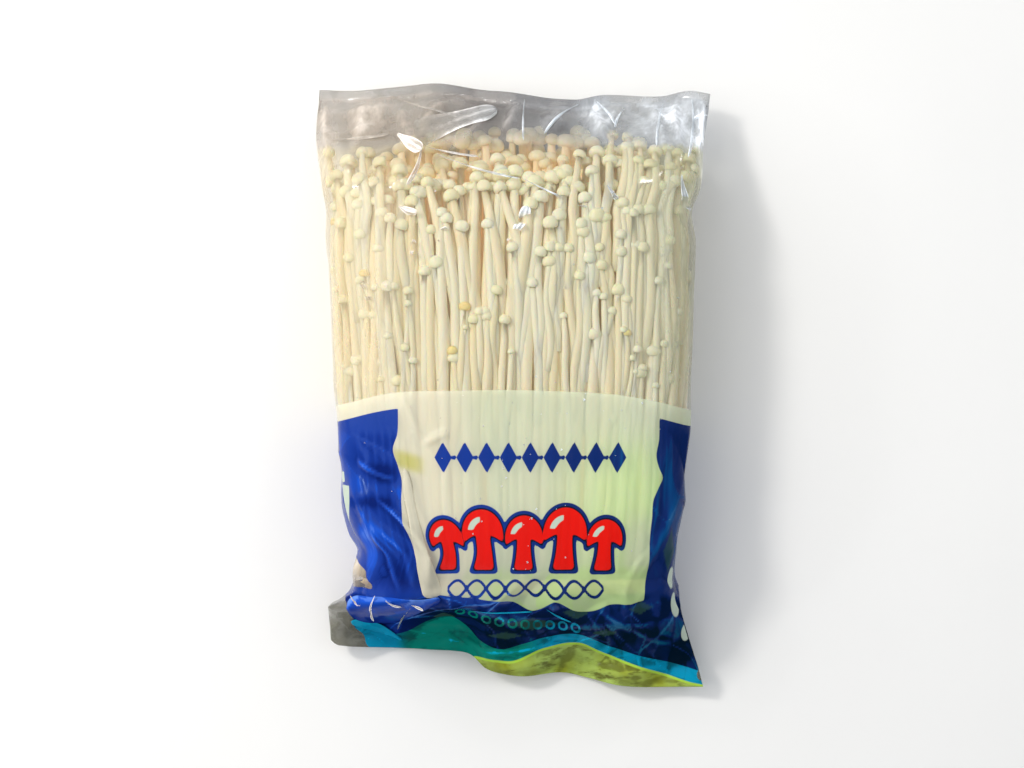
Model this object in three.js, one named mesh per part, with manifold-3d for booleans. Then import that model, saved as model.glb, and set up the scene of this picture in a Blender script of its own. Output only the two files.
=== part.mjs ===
// A bunch of enoki mushrooms in its film bag, lying on its back as it does on a table.
//
// Units are millimetres. +Z is up, away from the table. +Y runs along the bag, from its foot to its
// top seal, and +X is to the right for someone who looks down on the front of the bag. The origin is
// on the table, under the middle of the bag.
//
// There are two pieces. The bunch grew as one: a dense butt, a mass of stems, and the mushrooms that
// stand out of it. The bag is one tube of film, welded flat at its top and at its foot.

import * as THREE from "three";
import { mergeVertices } from "three/addons/utils/BufferGeometryUtils.js";
import Module from "manifold-3d";

const wasm = await Module();
wasm.setup();

// ---- Driving dimensions -------------------------------------------------------------------------

const FILM = 0.8; // thickness of the film's wall, thicker than real film so that it is a sound solid
const TOP_Y = 100.5; // where the top seal ends, on average
const FOOT_Y = -96; // where the foot ends, on average
const SECTION_POWER = 3.4; // 2 is an ellipse, and higher is nearer to a rectangle
const FLATTENING = 1.07; // how far the section would bulge past the table that presses it flat

// Side edges of the bag: [y, x of the left edge, x of the right edge].
const SIDES = [
  [-103, -62.5, 65.4],
  [-90, -63.8, 61.6],
  [-80, -63.8, 58.3],
  [-76, -62.6, 56.9],
  [-72.5, -58.8, 56.0],
  [-69, -56.2, 55.0],
  [-61, -53.9, 53.6],
  [-55.5, -52.8, 54.4],
  [-49, -55.5, 55.5],
  [-39, -58.0, 56.8],
  [-25, -58.9, 57.8],
  [-5, -60.6, 59.0],
  [10, -61.4, 59.8],
  [40, -63.0, 60.2],
  [49, -63.2, 60.6],
  [58, -62.9, 59.6],
  [66, -64.2, 63.0],
  [78, -66.2, 64.4],
  [90, -67.4, 65.6],
  [103, -66.8, 67.0],
];

// Side view of the bag: [y, z of the back film, z of the front film].
const PROFILE = [
  [-103, 4.0, 5.5],
  [-92, 4.4, 6.4],
  [-86, 3.6, 9.6],
  [-79, 1.2, 20.5],
  [-72, 0.0, 33.5],
  [-64, 0.0, 40.4],
  [-52, 0.0, 43.4],
  [-30, 0.0, 44.0],
  [30, 0.0, 44.0],
  [54, 0.0, 43.2],
  [66, 0.0, 40.2],
  [75, 0.0, 34.4],
  [82, 1.4, 27.0],
  [88, 4.2, 19.8],
  [93, 7.2, 14.6],
  [97.5, 9.6, 11.6],
  [103, 10.2, 11.7],
];

// Outline of the two welded ends: [x, y of the top seal's edge], then [x, y of the foot's edge].
const TOP_EDGE = [
  [-67, 101.2],
  [-50, 100.8],
  [-27, 103.5],
  [-7, 101.0],
  [20, 97.6],
  [31, 99.8],
  [50, 99.0],
  [59, 100.8],
  [67, 99.4],
];
const FOOT_EDGE = [
  [-64, -89.0],
  [-41, -90.5],
  [-20, -91.4],
  [-15, -93.0],
  [-10, -97.6],
  [-5, -99.4],
  [3, -100.4],
  [16, -99.6],
  [26, -101.2],
  [36, -103.2],
  [48, -103.9],
  [65, -103.6],
];
const EDGE_REACH = 0.16; // share of the length over which the ends' outlines fade into straight rows

// Waves of the flat film at the two ends, each [height, wavelength across, phase].
const TOP_WAVES = [
  [2.4, 58, 0.6],
  [0.9, 23, 2.0],
];
const FOOT_WAVES = [
  [1.9, 64, 2.4],
  [1.2, 31, 0.4],
];
const TOP_WAVE_START = 82; // y at which the top's waves set in
const FOOT_WAVE_START = -76;
const WAVE_RUN = 14; // length over which they grow to their full height

// The roll of slack film across the front, just under the butt.
const FOLD = { y: -77.5, halfLength: 6.5, height: 3.6 };

// The bunch.
const BUTT_Y = -70; // the cut end of the butt
const ROOT_Y = -60; // where the stems leave the butt
const MASS_TOP_Y = 47; // how far up the stems stand so close that they make one mass
const MASS_INSET = 6.6; // how deep that mass lies under the film
const BUTT_INSET = 2.2; // how deep the butt lies under it
const ROW_INSET = 2.9; // how deep the middle of an outer stem lies under the film
const STEM_PITCH = 3.75; // from one outer stem to the next
const INNER_PITCH = 8.3; // from one inner mushroom to the next, which show only at the top
const INNER_ROOT_Y = 38; // the inner mushrooms are rooted in the mass at this height
const CLEARANCE = 0.5; // between the bunch and the film that is pressed against it
const SIDES_OF_STEM = 6;
const STEM_TAPER = [1.1, 0.8]; // the stem's radius at its root and under its cap, over its own radius
const CAP_OUTLINE = [
  [0.9, 0.04],
  [1.0, 0.5],
  [0.7, 1.1],
]; // radius, and height over the neck, both over the cap's radius
const OUTER = {
  sunk: 4, // how far the root lies below ROOT_Y
  tallShare: { back: 0.54, front: 0.34 }, // of the mushrooms, the share that are tall ones
  tallDrop: [0, 7], // a tall one's top lies this far under the tallest: least, range
  shortDrop: [12, 58],
  tallCap: [2.6, 0.6], // radius of the cap: least, range
  shortCap: [2.2, 0.6],
  stem: [1.35, 0.35], // radius of the stem: least, range
  sway: 0.06, // how far the top leans, as a share of the section's half width
  bow: 5, // range of the bow across the bag
  dome: 1.45, // height of the cap over its radius
  bends: [0.4, 0.75],
};
const INNER = {
  drop: [-3.5, 7],
  cap: [2.6, 1.0],
  stem: [1.4, 0.3],
  deeper: 2, // than the outer row
  sway: 0.07,
  dome: 1.45,
  spread: [0.86, 0.7], // the places are drawn in towards the middle by this, across and deep
};
const SEED = 20;

// ---- Curves -------------------------------------------------------------------------------------

// A smooth curve through stations [at, value, ...], read at any place; column picks the value.
function along(stations, place, column = 1) {
  const last = stations.length - 1;
  const slope = (i) => {
    const before = stations[Math.max(i - 1, 0)];
    const after = stations[Math.min(i + 1, last)];
    return (after[column] - before[column]) / (after[0] - before[0]);
  };
  if (place <= stations[0][0]) return stations[0][column];
  if (place >= stations[last][0]) return stations[last][column];
  const i = stations.findIndex((s) => s[0] > place) - 1;
  const [from, to] = [stations[i], stations[i + 1]];
  const run = to[0] - from[0];
  const t = (place - from[0]) / run;
  return (
    (1 + 2 * t) * (1 - t) ** 2 * from[column] +
    t * (1 - t) ** 2 * run * slope(i) +
    t * t * (3 - 2 * t) * to[column] +
    t * t * (t - 1) * run * slope(i + 1)
  );
}

const ramp = (from, to, value) => THREE.MathUtils.smoothstep(value, from, to);

function random(seed) {
  let state = seed;
  return () => {
    state = (state + 0x6d2b79f5) | 0;
    let mixed = Math.imul(state ^ (state >>> 15), 1 | state);
    mixed = (mixed + Math.imul(mixed ^ (mixed >>> 7), 61 | mixed)) ^ mixed;
    return ((mixed ^ (mixed >>> 14)) >>> 0) / 4294967296;
  };
}

// ---- The bag's form -----------------------------------------------------------------------------

// Height of a face of the plain bag at y: column 1 is the back, which the table holds up, and 2 the
// front.
const faceAt = (column, y) => Math.max(along(PROFILE, y, column), 0);

// Distance down through a face that slopes along the bag, for each millimetre square to it.
function slant(column, y) {
  return Math.hypot(1, (faceAt(column, y + 1) - faceAt(column, y - 1)) / 2);
}

// The section of the bag at y, taken in by inset square to the film.
function sectionAt(y, inset) {
  const left = along(SIDES, y, 1) + inset;
  const right = along(SIDES, y, 2) - inset;
  const back = faceAt(1, y) + inset * slant(1, y);
  const front = faceAt(2, y) - inset * slant(2, y);
  return { left, right, middle: (back + front) / 2, half: (front - back) / 2 };
}

function waves(list, x) {
  return list.reduce(
    (sum, [height, length, phase]) => sum + height * Math.sin((2 * Math.PI * x) / length + phase),
    0,
  );
}

// How far the film is lifted off its plain form at a point of the front (face 1) or the back (-1).
function lift(x, y, face) {
  const top = ramp(TOP_WAVE_START, TOP_WAVE_START + WAVE_RUN, y) * waves(TOP_WAVES, x);
  const foot = ramp(-FOOT_WAVE_START, -FOOT_WAVE_START + WAVE_RUN, -y) * waves(FOOT_WAVES, x);
  const across = (y - FOLD.y) / FOLD.halfLength;
  const fold = face > 0 ? FOLD.height * Math.exp(-across * across) : 0;
  return top + foot + fold;
}

// A point of the film, taken in by inset. across runs from -1 at the left edge to 1 at the right,
// share from 0 at the foot to 1 at the top, and face is 1 for the front and -1 for the back.
function filmPoint(across, share, face, inset = 0) {
  const row = FOOT_Y + (TOP_Y - FOOT_Y) * share;
  const section = sectionAt(row, inset);
  const reach = across < 0 ? -section.left : section.right;
  const x = across * reach;
  const round = (1 - Math.abs(across) ** SECTION_POWER) ** (1 / SECTION_POWER);
  const height = Math.min(FLATTENING * round, 1) * section.half;
  const y =
    row +
    ramp(1 - EDGE_REACH, 1, share) * (along(TOP_EDGE, x) - TOP_Y) +
    ramp(1 - EDGE_REACH, 1, 1 - share) * (along(FOOT_EDGE, x) - FOOT_Y);
  return new THREE.Vector3(x, y, section.middle + face * height + lift(x, row, face));
}

// ---- Solids -------------------------------------------------------------------------------------

// A closed skin over rows of points, front and back, from filmPoint. Each row is one ring.
function pouch(columns, shares, inset) {
  const ring = 2 * columns;
  const points = [];
  for (const share of shares) {
    for (let i = 0; i < ring; i++) {
      const face = i <= columns ? 1 : -1;
      const step = i <= columns ? i : ring - i;
      const across = Math.sin((Math.PI / 2) * ((2 * step) / columns - 1));
      points.push(filmPoint(across, share, face, inset));
    }
  }
  const faces = [];
  const quad = (a, b, c, d) => faces.push(a, b, c, a, c, d);
  for (let row = 0; row + 1 < shares.length; row++) {
    for (let i = 0; i < ring; i++) {
      const next = (i + 1) % ring;
      quad(row * ring + i, row * ring + next, (row + 1) * ring + next, (row + 1) * ring + i);
    }
  }
  const end = (shares.length - 1) * ring;
  for (let i = 0; i < columns; i++) {
    const opposite = (ring - i) % ring;
    quad(i, opposite, ring - i - 1, i + 1);
    quad(end + i, end + i + 1, end + ring - i - 1, end + opposite);
  }
  const geometry = new THREE.BufferGeometry().setFromPoints(points);
  geometry.setIndex(faces);
  return geometry;
}

// Turns a closed geometry into a solid that can be joined and cut.
function solidOf(geometry) {
  const bare = geometry.index ? geometry.toNonIndexed() : geometry;
  const places = new THREE.BufferGeometry();
  places.setAttribute("position", bare.getAttribute("position"));
  const merged = mergeVertices(places, 1e-3);
  return new wasm.Manifold(
    new wasm.Mesh({
      numProp: 3,
      vertProperties: merged.attributes.position.array,
      triVerts: new Uint32Array(merged.index.array),
    }),
  );
}

function meshOf(name, solid, material) {
  const made = solid.getMesh();
  const places = new Float32Array(made.numVert * 3);
  for (let i = 0; i < made.numVert; i++) {
    places.set(made.vertProperties.subarray(i * made.numProp, i * made.numProp + 3), i * 3);
  }
  const geometry = new THREE.BufferGeometry();
  geometry.setAttribute("position", new THREE.BufferAttribute(places, 3));
  geometry.setIndex(new THREE.BufferAttribute(made.triVerts, 1));
  geometry.computeVertexNormals();
  const mesh = new THREE.Mesh(geometry, material);
  mesh.name = name;
  return mesh;
}

// The largest piece of a joined solid, with the hollows that joining sealed left filled.
function soundPiece(joined) {
  return joined.decompose().reduce((best, one) => (one.volume() > best.volume() ? one : best));
}

// ---- The bag ------------------------------------------------------------------------------------

const BAG_COLUMNS = 24;
const BAG_ROWS = 31;
const ROW_CROWDING = 0.75; // 0 spaces the rows evenly, and higher crowds them towards the two ends
const HOLLOW_ROWS = [3, 28]; // the hollow runs between these rows, and past them the two films meet
const SEAM = { x: 0, gap: 0.4, from: -58, to: 62 }; // the film's long edges meet in the back

const bagShares = Array.from({ length: BAG_ROWS }, (_, row) => {
  const turn = (2 * Math.PI * row) / (BAG_ROWS - 1);
  return (turn - ROW_CROWDING * Math.sin(turn)) / (2 * Math.PI);
});

// The room inside the bag, taken in by inset.
function hollow(inset) {
  return solidOf(pouch(BAG_COLUMNS, bagShares.slice(...HOLLOW_ROWS), inset));
}

function bagSolid() {
  const outside = solidOf(pouch(BAG_COLUMNS, bagShares, 0));
  const seam = new THREE.BoxGeometry(SEAM.gap, SEAM.to - SEAM.from, 4 * FILM);
  seam.translate(SEAM.x, (SEAM.from + SEAM.to) / 2, 0);
  return outside.subtract(hollow(FILM)).subtract(solidOf(seam));
}

// ---- The bunch ----------------------------------------------------------------------------------

// A place in the bunch at height y: across and deep run from -1 to 1 over the section that lies
// inset under the film, where deep is -1 at the back and 1 at the front.
function bunchPoint(across, deep, y, inset) {
  const section = sectionAt(y, inset);
  const x = across < 0 ? -across * section.left : across * section.right;
  return new THREE.Vector3(x, y, section.middle + deep * section.half);
}

// Places round the rim of the section, one pitch apart, as [across, deep].
function rimPlaces(pitch) {
  const section = sectionAt(0, ROW_INSET);
  const steps = 720;
  const places = [];
  let before = null;
  let travelled = 0;
  for (let i = 0; i < steps; i++) {
    const angle = (2 * Math.PI * i) / steps;
    const sided = (value) => Math.sign(value) * Math.abs(value) ** (2 / SECTION_POWER);
    const place = [sided(Math.cos(angle)), sided(Math.sin(angle))];
    const at = [place[0] * section.right, place[1] * section.half];
    if (before) travelled += Math.hypot(at[0] - before[0], at[1] - before[1]);
    before = at;
    if (travelled >= places.length * pitch) places.push(place);
  }
  return places;
}

// Places inside the rim on a staggered grid, as [across, deep].
function innerPlaces(pitch) {
  const section = sectionAt(0, ROW_INSET + 0.62 * pitch);
  const places = [];
  const rowStep = (pitch * Math.sqrt(3)) / 2;
  const rows = Math.floor(section.half / rowStep);
  for (let row = -rows; row <= rows; row++) {
    const shift = row % 2 ? pitch / 2 : 0;
    for (let x = -section.right + shift; x <= section.right; x += pitch) {
      const place = [x / section.right, (row * rowStep) / section.half];
      if (Math.abs(place[0]) ** SECTION_POWER + Math.abs(place[1]) ** SECTION_POWER < 1) {
        places.push([place[0] * INNER.spread[0], place[1] * INNER.spread[1]]);
      }
    }
  }
  return places;
}

// How high the tallest mushroom reaches at a place in the section: the back stands highest, and the
// sides stand lower than the middle.
function tallest(across, deep) {
  return 81.5 - 7.5 * deep - 5 * across * across;
}

// One mushroom: a profile turned round +Y, then bent to follow the bag. bends are the shares of the
// stem's length at which it has rings.
function mushroom({ across, deep, rootY, tipY, inset, sway, bow, stem, cap, dome, bends }) {
  const length = tipY - rootY;
  const neck = length - dome * cap;
  const profile = [
    [0, 0],
    [stem * STEM_TAPER[0], 0],
    ...bends.map((share) => [stem * THREE.MathUtils.lerp(...STEM_TAPER, share), share * neck]),
    [stem * STEM_TAPER[1], neck],
    ...CAP_OUTLINE.map(([radius, height]) => [cap * radius, neck + cap * height]),
    [0, length],
  ].map(([radius, height]) => new THREE.Vector2(radius, height));
  const geometry = new THREE.LatheGeometry(profile, SIDES_OF_STEM);
  const places = geometry.getAttribute("position");
  for (let i = 0; i < places.count; i++) {
    const share = places.getY(i) / length;
    const leant = THREE.MathUtils.clamp(across + sway * share, -1, 1);
    const middle = bunchPoint(leant, deep, rootY + places.getY(i), inset);
    const curved = bow * Math.sin(Math.PI * share) * (1 - across * across);
    places.setXYZ(i, places.getX(i) + middle.x + curved, middle.y, places.getZ(i) + middle.z);
  }
  return solidOf(geometry);
}

// The ring of mushrooms just under the film.
function outerMushrooms(draw) {
  const between = ([least, range]) => least + range * draw();
  return rimPlaces(STEM_PITCH).map(([across, deep]) => {
    const tall = draw() < (deep < 0 ? OUTER.tallShare.back : OUTER.tallShare.front);
    const cap = between(tall ? OUTER.tallCap : OUTER.shortCap);
    return mushroom({
      across,
      deep,
      cap,
      rootY: ROOT_Y - OUTER.sunk,
      tipY: tallest(across, deep) - between(tall ? OUTER.tallDrop : OUTER.shortDrop),
      inset: ROW_INSET,
      sway: (draw() - 0.5) * OUTER.sway,
      bow: (draw() - 0.5) * OUTER.bow,
      stem: between(OUTER.stem),
      dome: OUTER.dome,
      bends: OUTER.bends,
    });
  });
}

// The mushrooms inside that ring.
function innerMushrooms(draw) {
  const between = ([least, range]) => least + range * draw();
  return innerPlaces(INNER_PITCH).map(([across, deep]) =>
    mushroom({
      across,
      deep,
      cap: between(INNER.cap),
      rootY: INNER_ROOT_Y,
      tipY: tallest(across, deep) - between(INNER.drop),
      inset: ROW_INSET + INNER.deeper,
      sway: (draw() - 0.5) * INNER.sway,
      bow: 0,
      stem: between(INNER.stem),
      dome: INNER.dome,
      bends: [],
    }),
  );
}

// The mass of close stems with the butt under it: rings of the section, closed at both ends.
function stemMass() {
  const sides = 24;
  const rings = [
    [BUTT_Y, 0.8],
    [BUTT_Y + 3, 0.98],
    [ROOT_Y + 4, 1],
    [0, 1],
    [MASS_TOP_Y - 8, 1],
    [MASS_TOP_Y, 0.9],
  ];
  const points = [];
  for (const [y, size] of rings) {
    const inset = THREE.MathUtils.lerp(BUTT_INSET, MASS_INSET, ramp(BUTT_Y, ROOT_Y + 4, y));
    for (let i = 0; i < sides; i++) {
      const angle = (-2 * Math.PI * i) / sides;
      const sided = (value) => Math.sign(value) * Math.abs(value) ** (2 / SECTION_POWER);
      points.push(bunchPoint(size * sided(Math.cos(angle)), size * sided(Math.sin(angle)), y, inset));
    }
  }
  const faces = [];
  for (let row = 0; row + 1 < rings.length; row++) {
    for (let i = 0; i < sides; i++) {
      const [a, b] = [row * sides + i, row * sides + ((i + 1) % sides)];
      faces.push(a, b, b + sides, a, b + sides, a + sides);
    }
  }
  const end = (rings.length - 1) * sides;
  for (let i = 1; i + 1 < sides; i++) {
    faces.push(0, i + 1, i, end, end + i, end + i + 1);
  }
  const geometry = new THREE.BufferGeometry().setFromPoints(points);
  geometry.setIndex(faces);
  return solidOf(geometry);
}

// The whole bunch. The film flattens the caps that reach it.
function bunchSolid() {
  const draw = random(SEED);
  const parts = [stemMass(), ...outerMushrooms(draw), ...innerMushrooms(draw)];
  return soundPiece(wasm.Manifold.union(parts).intersect(hollow(FILM + CLEARANCE)));
}

// ---- The part -----------------------------------------------------------------------------------

const ivory = new THREE.MeshStandardMaterial({ color: 0xf1e6c6, roughness: 0.62, metalness: 0 });
const film = new THREE.MeshStandardMaterial({
  color: 0xdfe5e3,
  roughness: 0.12,
  metalness: 0,
  transparent: true,
  opacity: 0.3,
});

const baggedBunch = new THREE.Group();
baggedBunch.add(meshOf("enoki_bunch", bunchSolid(), ivory));
baggedBunch.add(meshOf("film_bag", bagSolid(), film));

export default baggedBunch;
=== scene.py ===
"""The finished look of a bunch of enoki mushrooms in its film bag, lying on its back.

Lengths in this file are millimetres in the part's own frame until a mesh is made, which is in metres.
+Z is up out of the front of the bag, +Y runs from the butt to the caps, and +X is to the right.
"""

import logging
import math
from dataclasses import dataclass, field
from enum import Enum

import bpy
import numpy as np
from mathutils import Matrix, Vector
from numpy.typing import NDArray


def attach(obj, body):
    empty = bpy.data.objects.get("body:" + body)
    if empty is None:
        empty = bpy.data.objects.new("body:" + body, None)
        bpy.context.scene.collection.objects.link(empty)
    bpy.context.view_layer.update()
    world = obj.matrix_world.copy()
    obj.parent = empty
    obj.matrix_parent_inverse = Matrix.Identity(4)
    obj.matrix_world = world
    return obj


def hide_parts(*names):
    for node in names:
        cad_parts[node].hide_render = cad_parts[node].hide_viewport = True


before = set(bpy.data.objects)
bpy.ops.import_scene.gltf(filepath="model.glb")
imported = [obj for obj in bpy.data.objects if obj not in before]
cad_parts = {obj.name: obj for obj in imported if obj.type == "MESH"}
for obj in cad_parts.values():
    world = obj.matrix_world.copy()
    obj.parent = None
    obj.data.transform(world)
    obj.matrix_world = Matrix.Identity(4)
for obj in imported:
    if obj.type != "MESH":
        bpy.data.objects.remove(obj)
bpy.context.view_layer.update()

Array = NDArray[np.float64]
Stations = tuple[tuple[float, ...], ...]
Pair = tuple[float, float]
Triple = tuple[float, float, float]
Colour = Triple
Paint = tuple[float, float, float, float]
Socket = bpy.types.NodeSocket
Feed = Socket | float | tuple[float, ...]
Skin = tuple[Array, list[Array], dict[str, Array]]

LOG = logging.getLogger("bagged_enoki")
MM = 0.001


# ---- Numbers and curves


def ramp(start: float, end: float, value: Array) -> Array:
    """Smooth step: 0 at start, 1 at end, with level ends. start may be the larger one.

    Args:
        start: where the step begins.
        end: where the step ends.
        value: the places to read it at.

    Returns:
        The step at each place, from 0 to 1.
    """
    share = np.clip((value - start) / (end - start), 0, 1)
    return share * share * (3 - 2 * share)


def along(stations: Stations, place: Array, column: int = 1) -> Array:
    """Smooth curve through stations, level past both ends.

    Between two stations it is the cubic that meets both values. The slope at a station is that of
    the line from the one before it to the one after it.

    Args:
        stations: rows of a place and one or more values, in rising order of place.
        place: where to read the curve.
        column: which value of a row to use.

    Returns:
        The curve's value at each place.
    """
    table = np.asarray(stations, float)
    at, value = table[:, 0], table[:, column]
    last = len(at) - 1
    before, after = np.clip(np.arange(-1, last), 0, last), np.clip(np.arange(1, last + 2), 0, last)
    slope = (value[after] - value[before]) / (at[after] - at[before])
    place = np.clip(place, at[0], at[-1])
    i = np.clip(np.searchsorted(at, place, side="right") - 1, 0, last - 1)
    run = at[i + 1] - at[i]
    t = (place - at[i]) / run
    ends = (1 + 2 * t) * (1 - t) ** 2 * value[i] + t * t * (3 - 2 * t) * value[i + 1]
    return ends + run * (t * (1 - t) ** 2 * slope[i] + t * t * (t - 1) * slope[i + 1])


@dataclass(frozen=True)
class Zone:
    """A stretch with soft ends: it sets in between the two places of rise, and ends between those of fall."""

    rise: Pair
    fall: Pair

    def share(self, place: Array) -> Array:
        """How far each place lies inside, from 0 to 1."""
        return ramp(*self.rise, place) * ramp(*self.fall, place)


def circle(count: int) -> Array:
    """Angles in radians that part a full turn into count equal steps, from 0 on."""
    return 2 * math.pi * np.arange(count) / count


def linear(red: float, green: float, blue: float) -> Paint:
    """Turns a colour as seen on a screen into the light that it stands for.

    Args:
        red: the red channel, from 0 to 1.
        green: the green channel.
        blue: the blue channel.

    Returns:
        The light, and 1 for opaque.
    """
    seen = np.array([red, green, blue])
    light = np.where(seen <= 0.04045, seen / 12.92, ((seen + 0.055) / 1.055) ** 2.4)
    return (*(float(c) for c in light), 1.0)


class Draw:
    """The seeded random draw that the solids also use, so that both make the same mushrooms."""

    def __init__(self, seed: int) -> None:
        """Starts the draw at a seed."""
        self.state = seed

    def one(self) -> float:
        """One number from 0 to 1, by the mulberry32 rule on 32-bit whole numbers."""
        mask, stride = 0xFFFFFFFF, 0x6D2B79F5
        self.state = (self.state + stride) & mask
        mixed = ((self.state ^ (self.state >> 15)) * (1 | self.state)) & mask
        mixed = ((mixed + (((mixed ^ (mixed >> 7)) * (61 | mixed)) & mask)) & mask) ^ mixed
        return (mixed ^ (mixed >> 14)) / (mask + 1)

    def between(self, least: float, span: float) -> float:
        """One number from least to least plus span."""
        return least + span * self.one()


# ---- Meshes


def make_piece(
    name: str, points: Array, faces: list[Array], attributes: dict[str, Array] | None = None
) -> bpy.types.Object:
    """Makes a smooth-shaded piece from whole arrays.

    Args:
        name: the piece's name.
        points: its vertices, one row of x, y, z each, in millimetres.
        faces: arrays of vertex numbers, one row a face, each array with its own number of corners.
        attributes: a number for each vertex, by name.

    Returns:
        The new object, at the origin.
    """
    mesh = bpy.data.meshes.new(name)
    mesh.vertices.add(len(points))
    mesh.vertices.foreach_set("co", (points * MM).astype(np.float32).ravel())
    corners = np.concatenate([block.ravel() for block in faces]).astype(np.int32)
    sizes = np.concatenate([np.full(len(block), block.shape[1], np.int32) for block in faces])
    mesh.loops.add(len(corners))
    mesh.loops.foreach_set("vertex_index", corners)
    mesh.polygons.add(len(sizes))
    mesh.polygons.foreach_set("loop_start", (np.cumsum(sizes) - sizes).astype(np.int32))
    mesh.polygons.foreach_set("use_smooth", np.ones(len(sizes), bool))
    for key, values in (attributes or {}).items():
        layer = mesh.attributes.new(key, "FLOAT", "POINT")
        layer.data.foreach_set("value", values.astype(np.float32).ravel())
    mesh.update(calc_edges=True)
    mesh.validate()
    piece = bpy.data.objects.new(name, mesh)
    bpy.context.scene.collection.objects.link(piece)
    return piece


def ring_faces(rows: int, ring: int) -> Array:
    """The quads between rings of points that lie one after the other.

    Args:
        rows: how many rings there are.
        ring: how many points each has.

    Returns:
        One row of four vertex numbers for each quad. They face outwards where the rings rise along
        the axis that they turn anticlockwise about.
    """
    row, column = np.meshgrid(np.arange(rows - 1), np.arange(ring), indexing="ij")
    a, b = row * ring + column, row * ring + (column + 1) % ring
    return np.stack([a, b, b + ring, a + ring], axis=-1).reshape(-1, 4)


def end_fans(rows: int, ring: int) -> Array:
    """The triangles that close the first and the last of the rings that ring_faces joins.

    Args:
        rows: how many rings there are.
        ring: how many points each has.

    Returns:
        One row of three vertex numbers for each triangle. The point that closes the first ring comes
        right after all the rings, and the one that closes the last ring comes after that.
    """
    first = np.arange(ring)
    second, top, pole = (first + 1) % ring, (rows - 1) * ring, np.full(ring, rows * ring)
    low = np.stack([second, first, pole], axis=-1)
    high = np.stack([top + first, top + second, pole + 1], axis=-1)
    return np.concatenate([low, high])


# ---- The bag's form


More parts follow.
